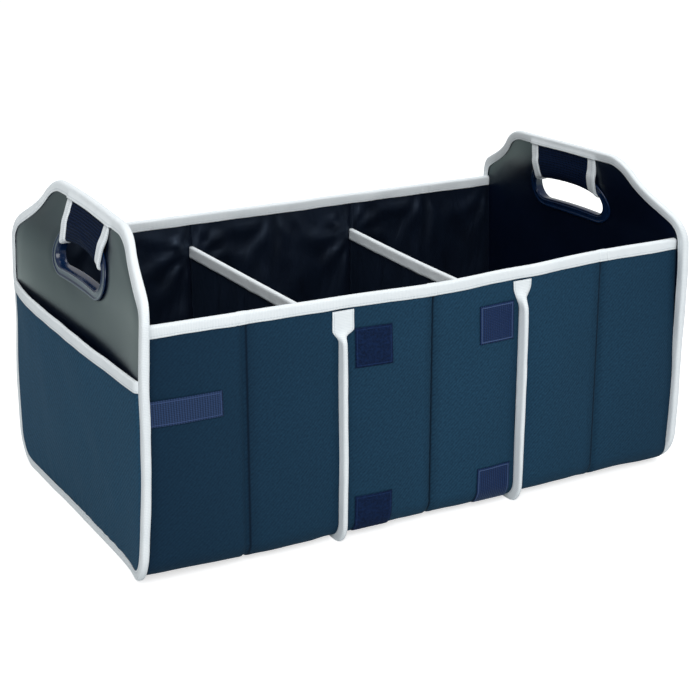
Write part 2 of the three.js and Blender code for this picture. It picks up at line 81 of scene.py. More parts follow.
def bell(value, reach):
    """1 at 0, and falling off smoothly to both sides over about the reach given."""
    return math.exp(-((value / reach) ** 2))


def nearest(x, lines):
    """How far x is from the nearest of some lines."""
    return min(abs(x - line) for line in lines)


print("1 mm is", MM, "m")

# %% [markdown]
# ## The camera
# The photograph looks down at the organizer from its front left corner through a long lens. These numbers
# place the camera so that the corners of the walls, seams and ends fall where the photograph has them. They
# were found by fitting: the taped edges were measured in the photograph and the camera moved until they met.

# %% Camera
camera_data = bpy.data.cameras.new("camera")
camera_data.lens = 84.05
camera_data.sensor_width = 36
camera_data.clip_end = 100
camera = bpy.data.objects.new("camera", camera_data)
camera.location = (-0.7939, -1.4212, 0.6871)
camera.rotation_euler = (math.radians(90 - 18.952), 0, math.radians(-29.358))
bpy.context.scene.collection.objects.link(camera)
bpy.context.scene.camera = camera
print("camera distance from the middle:", round(camera.location.length, 3), "m")

# %% [markdown]
# ## Laying cloth
# A cut piece of cloth or tape is flat before it is sewn. The same goes for the mesh: a flat grid is made, each
# of its points keeps its place on the flat cloth as UV in metres, and then the grid is laid where it is sewn.
# A pattern that reads the UV follows the cloth round every fold, as threads do. The thickness comes last,
# from a Solidify modifier that grows away from the visible side.

# %% Lay a grid of cloth
def lay_cloth(name, steps, size, place, thickness=0.0, turn=False, joined=False):
    """place gives a point in millimetres for shares u and v, from 0 to 1, of a cloth of that size."""
    bm = bmesh.new()
    bmesh.ops.create_grid(bm, x_segments=steps[0], y_segments=steps[1], size=0.5)
    flat = bm.loops.layers.uv.new("flat_cloth")
    for face in bm.faces:
        for corner in face.loops:
            u, v = corner.vert.co.x + 0.5, corner.vert.co.y + 0.5
            corner[flat].uv = (u * size[0] * MM, v * size[1] * MM)
    for vert in bm.verts:
        vert.co = Vector(place(vert.co.x + 0.5, vert.co.y + 0.5)) * MM
    if joined:
        bmesh.ops.remove_doubles(bm, verts=bm.verts, dist=1e-6)
    if turn:
        bmesh.ops.reverse_faces(bm, faces=bm.faces)
    return finish_mesh(bm, name, thickness)


def finish_mesh(bm, name, thickness=0.0):
    mesh = bpy.data.meshes.new(name)
    bm.to_mesh(mesh)
    bm.free()
    mesh.shade_smooth()
    piece = bpy.data.objects.new(name, mesh)
    bpy.context.scene.collection.objects.link(piece)
    if thickness:
        body = piece.modifiers.new("thickness", "SOLIDIFY")
        body.thickness = thickness * MM
        body.offset = -1
        body.use_even_offset = False
    return piece


# %% Dress a piece: its material, body and the CAD nodes it stands for
def dress(piece, material, stands_for, body="organizer"):
    piece.data.materials.clear()
    piece.data.materials.append(material)
    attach(piece, body)
    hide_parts(*stands_for)
    faces = len(piece.data.polygons)
    print(f"{piece.name}: {faces} faces for {', '.join(stands_for)}")
    return piece


# %% [markdown]
# ## Materials: one node at a time
# Each material is a Principled shader fed by textures. Two helpers are enough: one turns a colour picked in
# sRGB into the linear numbers that Blender works with, and one adds a node with its settings and its links.
# A link may be given as a socket or as a whole node, whose first output in use is then taken. A colour is
# given as its sRGB hex code.

# %% Node helpers
def linear(code):
    """Linear RGBA from an sRGB hex colour."""
    values = [int(code[i : i + 2], 16) / 255 for i in (1, 3, 5)]
    return (*[c / 12.92 if c <= 0.04045 else ((c + 0.055) / 1.055) ** 2.4 for c in values], 1.0)


def add(tree, kind, inputs=None, **settings):
    made = tree.nodes.new("ShaderNode" + kind)
    for key, value in settings.items():
        setattr(made, key, value)
    for key, value in (inputs or {}).items():
        if isinstance(value, bpy.types.Node):
            value = next(output for output in value.outputs if output.enabled)
        if isinstance(value, str):
            value = linear(value)
        if isinstance(value, bpy.types.NodeSocket):
            tree.links.new(value, made.inputs[key])
        else:
            made.inputs[key].default_value = value
    return made


def new_material(name):
    material = bpy.data.materials.new(name)
    material.use_nodes = True
    material.node_tree.nodes.clear()
    print("material:", name)
    return material, material.node_tree


# %% [markdown]
# ## Navy 600-denier polyester
# The outside is a plain tough cloth of thick matt yarn, woven as a fine twill. To the eye that gives a deep
# blue with tiny diagonal grains, a faint haze where light grazes the yarn, and soft uneven patches. A real
# thread is 0.5 mm wide, too fine for a picture of the whole organizer, so the grain is drawn at 2 mm. The walls'
# cloth has painted shade along its stitched fold lines and beside its seams, and painted shade that deepens
# towards the left end and a little towards the right.

# %% Navy polyester
TWILL, WEFT, SLUB = 2.1, 1.4, 2.6
WAVE = 0.31416  # a wave texture of scale 1 repeats after this many metres
STITCHED_FOLD = 0.1  # where the fold line lies along a compartment's flat cloth, in metres


def navy_polyester(name, folded):
    material, tree = new_material(name)
    flat = add(tree, "TexCoord").outputs["UV"]
    warp = add(tree, "TexWave", {"Vector": flat, "Scale": WAVE / (TWILL * MM), "Distortion": 1.4, "Detail": 2.0,
        "Detail Scale": 2.0}, bands_direction="DIAGONAL").outputs["Fac"]
    weft = add(tree, "TexWave", {"Vector": flat, "Scale": WAVE / (WEFT * MM), "Distortion": 0.8},
        bands_direction="Y").outputs["Fac"]
    slub = add(tree, "TexNoise", {"Vector": flat, "Scale": 1 / (SLUB * MM), "Detail": 3.0}).outputs["Fac"]
    worn = add(tree, "TexNoise", {"Vector": flat, "Scale": 14.0, "Detail": 3.0, "Roughness": 0.6}).outputs["Fac"]
    yarn = add(tree, "Math", {0: warp, 1: 0.6, 2: add(tree, "Math", {0: weft, 1: 0.4}, operation="MULTIPLY")},
        operation="MULTIPLY_ADD")
    grain = add(tree, "Math", {0: slub, 1: 0.8, 2: add(tree, "Math", {0: yarn, 1: 0.35}, operation="MULTIPLY")},
        operation="MULTIPLY_ADD")
    fine = add(tree, "Mix", {0: grain, 6: "#000711", 7: "#31617f"}, data_type="RGBA")
    broad = add(tree, "Mix", {0: worn, 6: "#0c2439", 7: "#173750"}, data_type="RGBA")
    colour = add(tree, "Mix", {0: 0.42, 6: fine, 7: broad}, data_type="RGBA")
    if folded:
        along = add(tree, "SeparateXYZ", {"Vector": flat}).outputs[0]
        past = add(tree, "Math", {0: along, 1: STITCHED_FOLD}, operation="SUBTRACT")
        off = add(tree, "Math", {0: past}, operation="ABSOLUTE")
        line = add(tree, "MapRange", {"Value": off, "From Max": 1.6 * MM, "To Min": 0.8, "To Max": 0.0})
        soft = add(tree, "MapRange", {"Value": off, "From Max": 11 * MM, "To Min": 0.3, "To Max": 0.0})
        ends = add(tree, "MapRange", {"Value": off, "From Min": 88 * MM, "From Max": 100 * MM, "To Max": 0.35})
        # Painted shade: the cloth is darkened towards #02101d on the stitched fold line, more softly beside it, and
        # near the seams.
        painted_fold_shade = add(tree, "Math", {0: line, 1: add(tree, "Math", {0: soft, 1: ends})}, use_clamp=True)
        colour = add(tree, "Mix", {0: painted_fold_shade, 6: colour, 7: "#02101d"}, data_type="RGBA")
        # Painted shade across the walls: darker towards the left end, and a little darker towards the right.
        x = add(tree, "SeparateXYZ", {"Vector": add(tree, "TexCoord").outputs["Object"]}).outputs[0]
        left = add(tree, "MapRange", {"Value": x, "From Min": -0.29, "From Max": 0.0, "To Min": 0.72, "To Max": 0.26})
        right = add(tree, "MapRange", {"Value": x, "From Min": 0.12, "From Max": 0.3, "To Max": 0.18})
        painted_side_shade = add(tree, "Math", {0: left, 1: right})
        colour = add(tree, "Mix", {0: painted_side_shade, 6: colour, 7: "#04182b"}, data_type="RGBA")
    woven = add(tree, "Bump", {"Height": yarn, "Distance": 0.16 * MM})
    lumpy = add(tree, "Bump", {"Height": slub, "Distance": 0.16 * MM, "Normal": woven})
    surface = add(tree, "BsdfPrincipled", {"Base Color": colour, "Roughness": 0.88, "Specular IOR Level": 0.12,
        "Sheen Weight": 0.05, "Sheen Roughness": 0.4, "Sheen Tint": "#6f9fc8", "Normal": lumpy})
    add(tree, "OutputMaterial", {"Surface": surface})
    return material


# %% [markdown]
# ## Black coated nylon
# The lining is thin nylon with a coating on its back. It is nearly black, has a soft bluish shine, and never
# lies flat: small creases catch the light from above, and its colour is painted lighter on their crests as
# painted highlight and darker in their hollows as painted shade. Its threads are 0.3 mm apart, drawn here at 1.6 mm.

# %% Black nylon lining
NYLON_WEAVE = 1.6


def black_nylon():
    material, tree = new_material("coated_black_nylon")
    flat = add(tree, "TexCoord").outputs["UV"]
    turned = add(tree, "Mapping", {"Vector": flat, "Rotation": (0, 0, 0.5), "Scale": (1.0, 0.45, 1.0)})
    creases = add(tree, "TexNoise", {"Vector": turned, "Scale": 34.0, "Detail": 4.0, "Roughness": 0.55,
        "Distortion": 0.8}).outputs["Fac"]
    weave = add(tree, "TexWave", {"Vector": flat, "Scale": WAVE / (NYLON_WEAVE * MM), "Distortion": 0.5},
        bands_direction="DIAGONAL").outputs["Fac"]
    # Painted highlight and shade: the colour follows the crease height, bluish on the crests and near black in the
    # hollows.
    colour = add(tree, "Mix", {0: creases, 6: "#010103", 7: "#0d1626"}, data_type="RGBA")
    rough = add(tree, "MapRange", {"Value": creases, "To Min": 0.34, "To Max": 0.46})
    crumpled = add(tree, "Bump", {"Height": creases, "Distance": 1.6 * MM})
    woven = add(tree, "Bump", {"Height": weave, "Distance": 0.05 * MM, "Normal": crumpled})
    surface = add(tree, "BsdfPrincipled", {"Base Color": colour, "Roughness": rough, "Specular IOR Level": 0.7,
        "Specular Tint": "#b7cfee", "Sheen Weight": 0.06, "Sheen Tint": "#7f9fd0", "Normal": woven})
    add(tree, "OutputMaterial", {"Surface": surface})
    return material


# %% [markdown]
# ## Calendered navy vinyl
# The end panels are card covered in vinyl sheet pressed between rollers. It is almost black, smooth and
# half glossy, so seen at a slant it mirrors the pale studio as a grey-green veil.

# %% Navy vinyl
def navy_vinyl():
    material, tree = new_material("calendered_navy_vinyl")
    place = add(tree, "TexCoord").outputs["Object"]
    grain = add(tree, "TexNoise", {"Vector": place, "Scale": 900.0, "Detail": 2.0}).outputs["Fac"]
    waves = add(tree, "TexNoise", {"Vector": place, "Scale": 7.0, "Detail": 0.0}).outputs["Fac"]
    smears = add(tree, "TexNoise", {"Vector": place, "Scale": 22.0, "Detail": 3.0}).outputs["Fac"]
    colour = add(tree, "Mix", {0: smears, 6: "#030918", 7: "#081126"}, data_type="RGBA")
    rough = add(tree, "MapRange", {"Value": smears, "To Min": 0.27, "To Max": 0.34})
    soft = add(tree, "Bump", {"Height": waves, "Distance": 0.5 * MM})
    pressed = add(tree, "Bump", {"Height": grain, "Distance": 0.012 * MM, "Normal": soft})
    surface = add(tree, "BsdfPrincipled", {"Base Color": colour, "Roughness": rough, "IOR": 1.45,
        "Specular Tint": "#b9dfd8", "Normal": pressed})
    add(tree, "OutputMaterial", {"Surface": surface})
    return material


# %% [markdown]
# ## White binding tape
# Binding tape is woven polyester with a fine rib across it, folded over an edge and sewn down along both of
# its sides. UV u runs along the tape and v across it, so ribs are bands in u, and the two rows of stitches lie
# 2 mm inside each side in v. A stitch is 3.2 mm long, and a real rib is 0.8 mm, drawn here at 1.5 mm.

# %% White tape, for a strip of a given width in millimetres
RIB, STITCH, ROW_INSET = 1.5, 3.2, 2.1


def white_tape(width, name="ribbed_white_tape"):
    material, tree = new_material(name)
    flat = add(tree, "TexCoord").outputs["UV"]
    place = add(tree, "SeparateXYZ", {"Vector": flat})
    along, across = place.outputs[0], place.outputs[1]
    ribs = add(tree, "TexWave", {"Vector": flat, "Scale": WAVE / (RIB * MM), "Distortion": 0.6, "Detail": 1.0},
        bands_direction="X").outputs["Fac"]
    edge = add(tree, "Math", {0: across, 1: width * MM / 2}, operation="PINGPONG")
    off_row = add(tree, "Math", {0: edge, 1: 2.0 * MM, 2: 0.5 * MM}, operation="COMPARE")
    beat = add(tree, "Math", {0: add(tree, "Math", {0: along, 1: STITCH * MM}, operation="DIVIDE")}, operation="FRACT")
    thread = add(tree, "Math", {0: beat, 1: 0.78}, operation="LESS_THAN")
    stitch = add(tree, "Math", {0: off_row, 1: thread}, operation="MULTIPLY")
    soil = add(tree, "TexNoise", {"Vector": flat, "Scale": 45.0, "Detail": 3.0}).outputs["Fac"]
    cloth = add(tree, "Mix", {0: soil, 6: "#dde4e8", 7: "#edf2f4"}, data_type="RGBA")
    shade = add(tree, "Math", {0: ribs, 1: 0.45}, operation="MULTIPLY")
    ribbed = add(tree, "Mix", {0: shade, 6: cloth, 7: "#c9d3d9"}, data_type="RGBA")
    row_shade = add(tree, "Math", {0: off_row, 1: 0.3}, operation="MULTIPLY")
    colour = add(tree, "Mix", {0: row_shade, 6: ribbed, 7: "#a9b6be"}, data_type="RGBA")
    low = add(tree, "Bump", {"Height": ribs, "Distance": 0.14 * MM})
    sunk = add(tree, "Bump", {"Height": add(tree, "Math", {0: 1.0, 1: off_row}, operation="SUBTRACT"),
        "Distance": 0.3 * MM, "Normal": low})
    sewn = add(tree, "Bump", {"Height": stitch, "Distance": 0.3 * MM, "Normal": sunk})
    surface = add(tree, "BsdfPrincipled", {"Base Color": colour, "Roughness": 0.75, "Specular IOR Level": 0.3,
        "Normal": sewn})
    add(tree, "OutputMaterial", {"Surface": surface})
    return material


# %% [markdown]
# ## Hook and loop tape
# The loop side is a brushed pile of tiny curls. The hook side is rows of stiff nylon hooks, which show as
# fine ribs with a faint shine. Both are sewn round their edge, 2 mm in, with a slightly paler thread. Real
# curls and hooks are about 1 mm apart, and are drawn about twice as coarse so that they show.

# %% Loop tape
CURL, FUZZ = 2.1, 1.5


def sewn_edge(tree, flat, size):
    """A line 2 mm inside the edge of a piece, whose size is in millimetres, as a mask."""
    place = add(tree, "SeparateXYZ", {"Vector": flat})
    near = [add(tree, "Math", {0: place.outputs[i], 1: size[i] * MM / 2}, operation="PINGPONG") for i in (0, 1)]
    edge = add(tree, "Math", {0: near[0], 1: near[1]}, operation="MINIMUM")
    return add(tree, "Math", {0: edge, 1: ROW_INSET * MM, 2: 0.55 * MM}, operation="COMPARE")


def loop_tape(size):
    material, tree = new_material("brushed_loop_tape")
    flat = add(tree, "TexCoord").outputs["UV"]
    curls = add(tree, "TexVoronoi", {"Vector": flat, "Scale": 1 / (CURL * MM)},
        feature="SMOOTH_F1").outputs["Distance"]
    fuzz = add(tree, "TexNoise", {"Vector": flat, "Scale": 1 / (FUZZ * MM), "Detail": 4.0}).outputs["Fac"]
    pile = add(tree, "Math", {0: curls, 1: 0.7, 2: add(tree, "Math", {0: fuzz, 1: 0.6}, operation="MULTIPLY")},
        operation="MULTIPLY_ADD")
    row = sewn_edge(tree, flat, size)
    brushed = add(tree, "Mix", {0: pile, 6: "#01040d", 7: "#11264a"}, data_type="RGBA")
    row_shade = add(tree, "Math", {0: row, 1: 0.45}, operation="MULTIPLY")
    colour = add(tree, "Mix", {0: row_shade, 6: brushed, 7: "#1f355e"}, data_type="RGBA")
    deep = add(tree, "Bump", {"Height": pile, "Distance": 0.9 * MM})
    sewn = add(tree, "Bump", {"Height": add(tree, "Math", {0: 1.0, 1: row}, operation="SUBTRACT"),
        "Distance": 0.3 * MM, "Normal": deep})
    surface = add(tree, "BsdfPrincipled", {"Base Color": colour, "Roughness": 0.95, "Specular IOR Level": 0.12,
        "Sheen Weight": 0.03, "Sheen Tint": "#3c5fa0", "Normal": sewn})
    add(tree, "OutputMaterial", {"Surface": surface})
    return material


# %% Hook tape
HOOK_ROW, HOOK_PEG = 2.4, 1.7


def hook_tape(name, size, dark, light, thread):
    material, tree = new_material(name)
    flat = add(tree, "TexCoord").outputs["UV"]
    rows = add(tree, "TexWave", {"Vector": flat, "Scale": WAVE / (HOOK_ROW * MM), "Distortion": 0.4},
        bands_direction="X").outputs["Fac"]
    pegs = add(tree, "TexWave", {"Vector": flat, "Scale": WAVE / (HOOK_PEG * MM), "Distortion": 0.4},
        bands_direction="Y").outputs["Fac"]
    hooks = add(tree, "Math", {0: rows, 1: 0.6, 2: add(tree, "Math", {0: pegs, 1: 0.4}, operation="MULTIPLY")},
        operation="MULTIPLY_ADD")
    row = sewn_edge(tree, flat, size)
    ribbed = add(tree, "Mix", {0: hooks, 6: dark, 7: light}, data_type="RGBA")
    row_shade = add(tree, "Math", {0: row, 1: 0.55}, operation="MULTIPLY")
    colour = add(tree, "Mix", {0: row_shade, 6: ribbed, 7: thread}, data_type="RGBA")
    deep = add(tree, "Bump", {"Height": hooks, "Distance": 0.5 * MM})
    sewn = add(tree, "Bump", {"Height": add(tree, "Math", {0: 1.0, 1: row}, operation="SUBTRACT"),
        "Distance": 0.3 * MM, "Normal": deep})
    surface = add(tree, "BsdfPrincipled", {"Base Color": colour, "Roughness": 0.6, "Specular IOR Level": 0.16,
        "Normal": sewn})
    add(tree, "OutputMaterial", {"Surface": surface})
    return material


# %% [markdown]
# ## Moulded handle plastic and air mesh
# The hand hole's rim is moulded polypropylene, navy and glossy from a polished mould. The grip is a sleeve of
# air mesh: a knitted honeycomb of open cells over foam. A real cell is 2.5 mm wide, which is drawn as it is.

# %% Handle plastic
def navy_plastic():
    material, tree = new_material("moulded_navy_polypropylene")
    place = add(tree, "TexCoord").outputs["Object"]
    flow = add(tree, "TexNoise", {"Vector": place, "Scale": 60.0, "Detail": 3.0}).outputs["Fac"]
    scuffs = add(tree, "TexNoise", {"Vector": place, "Scale": 1100.0, "Detail": 2.0}).outputs["Fac"]
    colour = add(tree, "Mix", {0: flow, 6: "#061833", 7: "#0c2547"}, data_type="RGBA")
    rough = add(tree, "MapRange", {"Value": scuffs, "To Min": 0.14, "To Max": 0.24})
    skin = add(tree, "Bump", {"Height": scuffs, "Distance": 0.01 * MM})
    surface = add(tree, "BsdfPrincipled", {"Base Color": colour, "Roughness": rough, "IOR": 1.49,
        "Specular IOR Level": 0.4, "Normal": skin})
    add(tree, "OutputMaterial", {"Surface": surface})
    return material


# %% Air mesh
MESH_CELL = 2.5


def air_mesh():
    material, tree = new_material("knitted_air_mesh")
    flat = add(tree, "TexCoord").outputs["UV"]
    cells = add(tree, "TexVoronoi", {"Vector": flat, "Scale": 1 / (MESH_CELL * MM), "Randomness": 0.25},
        feature="DISTANCE_TO_EDGE").outputs["Distance"]
    knit = add(tree, "MapRange", {"Value": cells, "From Min": 0.08, "From Max": 0.3, "To Min": 1.0, "To Max": 0.0})
    colour = add(tree, "Mix", {0: knit, 6: "#010206", 7: "#0b1b38"}, data_type="RGBA")
    open_cells = add(tree, "Bump", {"Height": knit, "Distance": 0.5 * MM})
    surface = add(tree, "BsdfPrincipled", {"Base Color": colour, "Roughness": 0.8, "Specular IOR Level": 0.1,
        "Specular Tint": "#8fb0e0", "Normal": open_cells})
    add(tree, "OutputMaterial", {"Surface": surface})
    return material


# %% Pressed card of the hidden boards
def grey_card():
    material, tree = new_material("pressed_grey_card")
    place = add(tree, "TexCoord").outputs["Object"]
    fibres = add(tree, "TexNoise", {"Vector": place, "Scale": 300.0, "Detail": 5.0}).outputs["Fac"]
    colour = add(tree, "Mix", {0: fibres, 6: "#5d584f", 7: "#7d766a"}, data_type="RGBA")
    felted = add(tree, "Bump", {"Height": fibres, "Distance": 0.1 * MM})
    surface = add(tree, "BsdfPrincipled", {"Base Color": colour, "Roughness": 0.9, "Normal": felted})
    add(tree, "OutputMaterial", {"Surface": surface})
    return material


# %% Make the materials
polyester = navy_polyester("woven_navy_polyester", folded=True)
pocket_cloth = navy_polyester("woven_pocket_polyester", folded=False)
nylon, vinyl, plastic = black_nylon(), navy_vinyl(), navy_plastic()
mesh_pad, card = air_mesh(), grey_card()
print("materials:", len(bpy.data.materials))

# %% [markdown]
# ## Sizes of the real piece
# These are the numbers of the cutting plan, in millimetres, the same as the CAD model's. Depths are measured
# inwards from the outer cloth of a wall, or from the tape's face of an end panel.

# %% The cutting plan
LENGTH, WALLS_WIDTH, END_WIDTH, WALL_TOP, END_TOP, DIVIDER_TOP = 600, 342, 370, 250, 320, 211
FLOOR, CORNER, BOW = 2.5, 20, 4.5
TAPE, TAPE_WIDTH, SEAT = 0.9, 12.5, 0.3
INNER_DEPTH = 4.8
INNER_END = LENGTH / 2 - 6.3
ENDS = ((1, "right"), (-1, "left"))
CORNER_TOP, BOW_TOP, CLOTH_TOP = FLOOR + CORNER, WALL_TOP - TAPE_WIDTH, WALL_TOP - TAPE - SEAT
SEAMS, FOLDS = (-100, 100), (-200, 0, 200)
WALL = CLOTH_TOP - CORNER_TOP
BEND = math.pi / 2 * CORNER
BASE = WALLS_WIDTH - 2 * CORNER
TROUGH = 2 * WALL + 2 * BEND + BASE
print(f"each compartment's cloth is cut {LENGTH / 3:.0f} mm by {TROUGH:.0f} mm")


# %% How the walls run from front to back, and how they belly
def bow(x, z):
    """How far a wall panel bellies out: not at its top and sides, and 0.6 of the most where its corner starts."""
    panel = math.floor(x / 100)
    start, end = max(panel * 100, -INNER_END), min((panel + 1) * 100, INNER_END)
    across = math.sin(math.pi * clamp((x - start) / (end - start)))
    low = math.asin(0.6)
    drop = clamp((BOW_TOP - z) / (BOW_TOP - CORNER_TOP))
    return BOW * across * math.sin((math.pi - low) * drop) * clamp((z - FLOOR) / CORNER)


def trough(s):
    """Point and outward direction in the Y-Z plane, s millimetres down from the front wall's top."""
    if s > TROUGH / 2:
        y, z, out_y, out_z = trough(TROUGH - s)
        return -y, z, -out_y, out_z
    if s < WALL:
        return -WALLS_WIDTH / 2, CLOTH_TOP - s, -1.0, 0.0
    if s < WALL + BEND:
        turn = (s - WALL) / CORNER
        y = CORNER - WALLS_WIDTH / 2 - CORNER * math.cos(turn)
        return y, CORNER_TOP - CORNER * math.sin(turn), -math.cos(turn), -math.sin(turn)
    return CORNER - WALLS_WIDTH / 2 + s - WALL - BEND, FLOOR, 0.0, -1.0


# %% [markdown]
# ## How it has settled
# A sewn thing is never as straight as its plan. In the photograph the top of the front wall sags a little
# between the ends, both ends lean in at their hand holes, and the left end's front foot splays out and stands
# a little high. Each of these is one soft bump, and every layer of an end or a wall is moved by the same bumps,
# so the layers stay together. A sag is given as x and how far the front wall's top has sunk there. A bump of
# an end is given as how far it moves towards the middle, its place in y and z, and its reach in y and z.

# %% Sags and leans
LIFTED_FOOT = 4
SAG = ((-300, 0.8), (-200, 2.0), (-100, 2.8), (0, 5.0), (100, 2.6), (200, -0.8), (300, -1.0))
PULLED_IN = {
    -1: ((12, 0, 262, 150, 45), (7, 50, 320, 130, 45), (-3.5, -185, 230, 45, 90), (-9, -192, 0, 45, 85),
         (4, 185, 175, 50, 50), (1, 20, 0, 80, 60)),
    1: ((5, -30, 300, 190, 50), (3, 0, 262, 110, 45), (3, -120, 325, 70, 55), (-6, -185, 90, 50, 110),
        (4, 185, 245, 55, 90), (4.5, 58, 266, 50, 40)),
}


def pulled_in(side, y, z):
    """How far an end has moved towards the middle, in millimetres."""
    return sum(most * bell(y - at_y, reach_y) * bell(z - at_z, reach_z)
        for most, at_y, at_z, reach_y, reach_z in PULLED_IN[side])


def sag(x):
    """How far the top of the front wall has sunk at x."""
    for (low, a), (high, b) in zip(SAG, SAG[1:]):
        if x <= high:
            return mix(a, b, ease(x, low, high))
    return 0.0


def settled(x, y, z):
    """Moves a point of a wall or of the floor as it has settled."""
    near_end = ease(abs(x), 205, 288)
    if near_end > 0:
        side = 1 if x > 0 else -1
        x -= side * near_end * pulled_in(side, y, z)
    z -= sag(x) * ease(z, 110, 245) * ease(-y, 110, 165)
    z += LIFTED_FOOT * ease(-x, 190, 285) * (1 - ease(z, 5, 70)) * ease(-y, 60, 150)
    return x, y, z


def on_trough(x, s, out):
    """A point that stands out from the outer cloth, or lies inside it where out is negative."""
    y, z, out_y, out_z = trough(s)
    y, z = y + out * out_y, z + out * out_z
    return settled(x, y + math.copysign(bow(x, z), y), z)


# %% [markdown]
# ## The floor under it and the light
# A catalogue picture is taken on white paper under big soft lamps. The floor here is pale. To the camera it
# glows up to white, and to mirror rays it gives a weaker glow with a touch of green, which the half glossy
# vinyl of the left end shows as its grey-green veil.

# %% Floor
PAPER_GLOW, VEIL_GLOW = 0.66, 0.42
bm = bmesh.new()
bmesh.ops.create_grid(bm, x_segments=1, y_segments=1, size=30)
floor = finish_mesh(bm, "paper_floor")
floor.location = (0, 0, -0.0005)
material, tree = new_material("white_paper")
rays = add(tree, "LightPath")
mirrored = add(tree, "Math", {0: rays.outputs["Is Glossy Ray"], 1: rays.outputs["Is Transmission Ray"]},
    operation="MAXIMUM")
mirror_glow = add(tree, "Math", {0: mirrored, 1: VEIL_GLOW}, operation="MULTIPLY")
glow = add(tree, "Math", {0: rays.outputs["Is Camera Ray"], 1: PAPER_GLOW}, operation="MULTIPLY")
tooth = add(tree, "TexNoise", {"Vector": add(tree, "TexCoord").outputs["Object"], "Scale": 300.0}).outputs["Fac"]
shade = add(tree, "Mix", {0: tooth, 6: "#d6d7d8", 7: "#dcdddd"}, data_type="RGBA")
paper = add(tree, "BsdfPrincipled", {"Base Color": shade, "Roughness": 0.9})
seen = add(tree, "AddShader", {0: paper, 1: add(tree, "Emission", {"Strength": glow})})
veil = add(tree, "Emission", {"Color": "#c2f2e7", "Strength": mirror_glow})
add(tree, "OutputMaterial", {"Surface": add(tree, "AddShader", {0: seen, 1: veil})})
floor.data.materials.append(material)

# %% World and lamps
world = bpy.data.worlds.new("studio")
bpy.context.scene.world = world
world.use_nodes = True
background = next(n for n in world.node_tree.nodes if n.type == "BACKGROUND")
background.inputs["Color"].default_value = (1.0, 1.0, 1.0, 1.0)
background.inputs["Strength"].default_value = 0.55


def lamp(name, power, size, place, aim):
    data = bpy.data.lights.new(name, "AREA")
    data.energy, data.shape, data.size = power, "DISK", size
    made = bpy.data.objects.new(name, data)
    made.location = place
    made.rotation_euler = (Vector(aim) - Vector(place)).to_track_quat("-Z", "Y").to_euler()
    bpy.context.scene.collection.objects.link(made)


lamp("big_soft_lamp", 52, 1.8, (-0.9, -2.2, 2.1), (0, 0, 0.15))
lamp("top_lamp", 22, 1.6, (0.5, 0.3, 2.6), (0, 0, 0.1))
scene = bpy.context.scene
scene.view_settings.view_transform = "Standard"

# %% [markdown]
# ## Outer cloth of the compartments
# One cloth runs from the top of the front wall, under the floor, to the top of the back wall. Two boards
# stiffen each wall, and the cloth is stitched through between them, so it dips into a sharp valley there with
# small puckers on both sides. Between the seams the boards bow a little, which bellies the cloth.

# %% Outer cloth
def outer_relief(x, s):
    """How far the outer cloth stands off the plain bowed wall."""
    fold, seam, top = nearest(x, FOLDS), nearest(x, SEAMS), min(s, TROUGH - s)
    valley = -2.0 * bell(fold, 1.9) * ease(top, 6, 16)
    beat = math.sin(2 * math.pi * top / 15 + 2.5 * noise.noise(Vector((x / 30, s / 30, 3))))
    pucker = 0.32 * math.exp(-fold / 8) * beat
    roll = 0.7 * math.exp(-seam / 7) * ease(top, 14, 26)
    gather = math.sin(2 * math.pi * x / 19 + 3 * noise.noise(Vector((x / 40, 1, 2))))
    tuck = 0.3 * math.exp(-max(top - 10, 0) / 14) * gather
    drape = max(1.1 * unevenness(x, s, 1, 50, 95) + 0.4 * unevenness(x, s, 2, 22, 40), -1.0)
    calm = ease(fold, 0, 18) * ease(top, 12, 60)
    rise = valley + pucker + roll + tuck + drape * calm
    return mix(rise, min(rise, 0.6), ease(top, WALL, WALL + BEND))


# %% Lay the outer cloth
SEAM_GAP = 0.15


def compartment_edges(index):
    """Where a compartment's cloth starts and ends in x."""
    start = -INNER_END if index == 0 else SEAMS[index - 1] + SEAM_GAP
    end = INNER_END if index == 2 else SEAMS[index] - SEAM_GAP
    return start, end


for index in range(3):
    start, end = compartment_edges(index)
    piece = lay_cloth(
        f"outer_cloth_{index + 1}", (100, 180), (200, TROUGH),
        lambda u, v: on_trough(mix(start, end, u), v * TROUGH, outer_relief(mix(start, end, u), v * TROUGH)),
        thickness=1.0, turn=True)
    dress(piece, polyester, [f"section_{index + 1}_outer"])

# %% [markdown]
# ## Lining
# The lining is a little longer than the walls and is only caught at the seams, so it wrinkles: fans of soft
# folds run out from where a divider or a row of stitches pulls on it. The folds only stand inwards, because
# the boards are right behind.

# %% Lining
# Where something pulls on the lining, as x and height: the dividers, the rows of stitches and the seams' tops.
PULLS = [(x, 205) for x in SEAMS] + [(x, 246) for x in FOLDS] + [(x, 246) for x in (-292, -100, 100, 292)]


def lining_relief(x, s):
    """How far the lining stands in from the boards."""
    top = min(s, TROUGH - s)
    height = CLOTH_TOP - top
    side = 0 if s < TROUGH / 2 else 5
    rise = 0.0
    for number, (pull_x, pull_z) in enumerate(PULLS):
        across, down = x - pull_x, pull_z - height
        distance = math.hypot(across, down) + 1e-6
        angle = math.atan2(across, down)
        wobble = noise.noise(Vector((distance / 35, number * 3.1 + side, 0)))
        fan = math.cos(9 * angle + 3 * wobble + number)
        rise += 2.4 * fan * ease(distance, 4, 26) * math.exp(-distance / 60)
    rise += 1.1 * unevenness(x + 0.5 * height, height, 11 + side, 30, 62)
    fold, seam = nearest(x, FOLDS), nearest(x, SEAMS + (-293, 293))
    caught = ease(fold, 0, 9) * ease(seam, 0, 8) * ease(top, 8, 30) * clamp(1.35 - top / 320)
    return max(0.0, 1.6 + rise) * caught


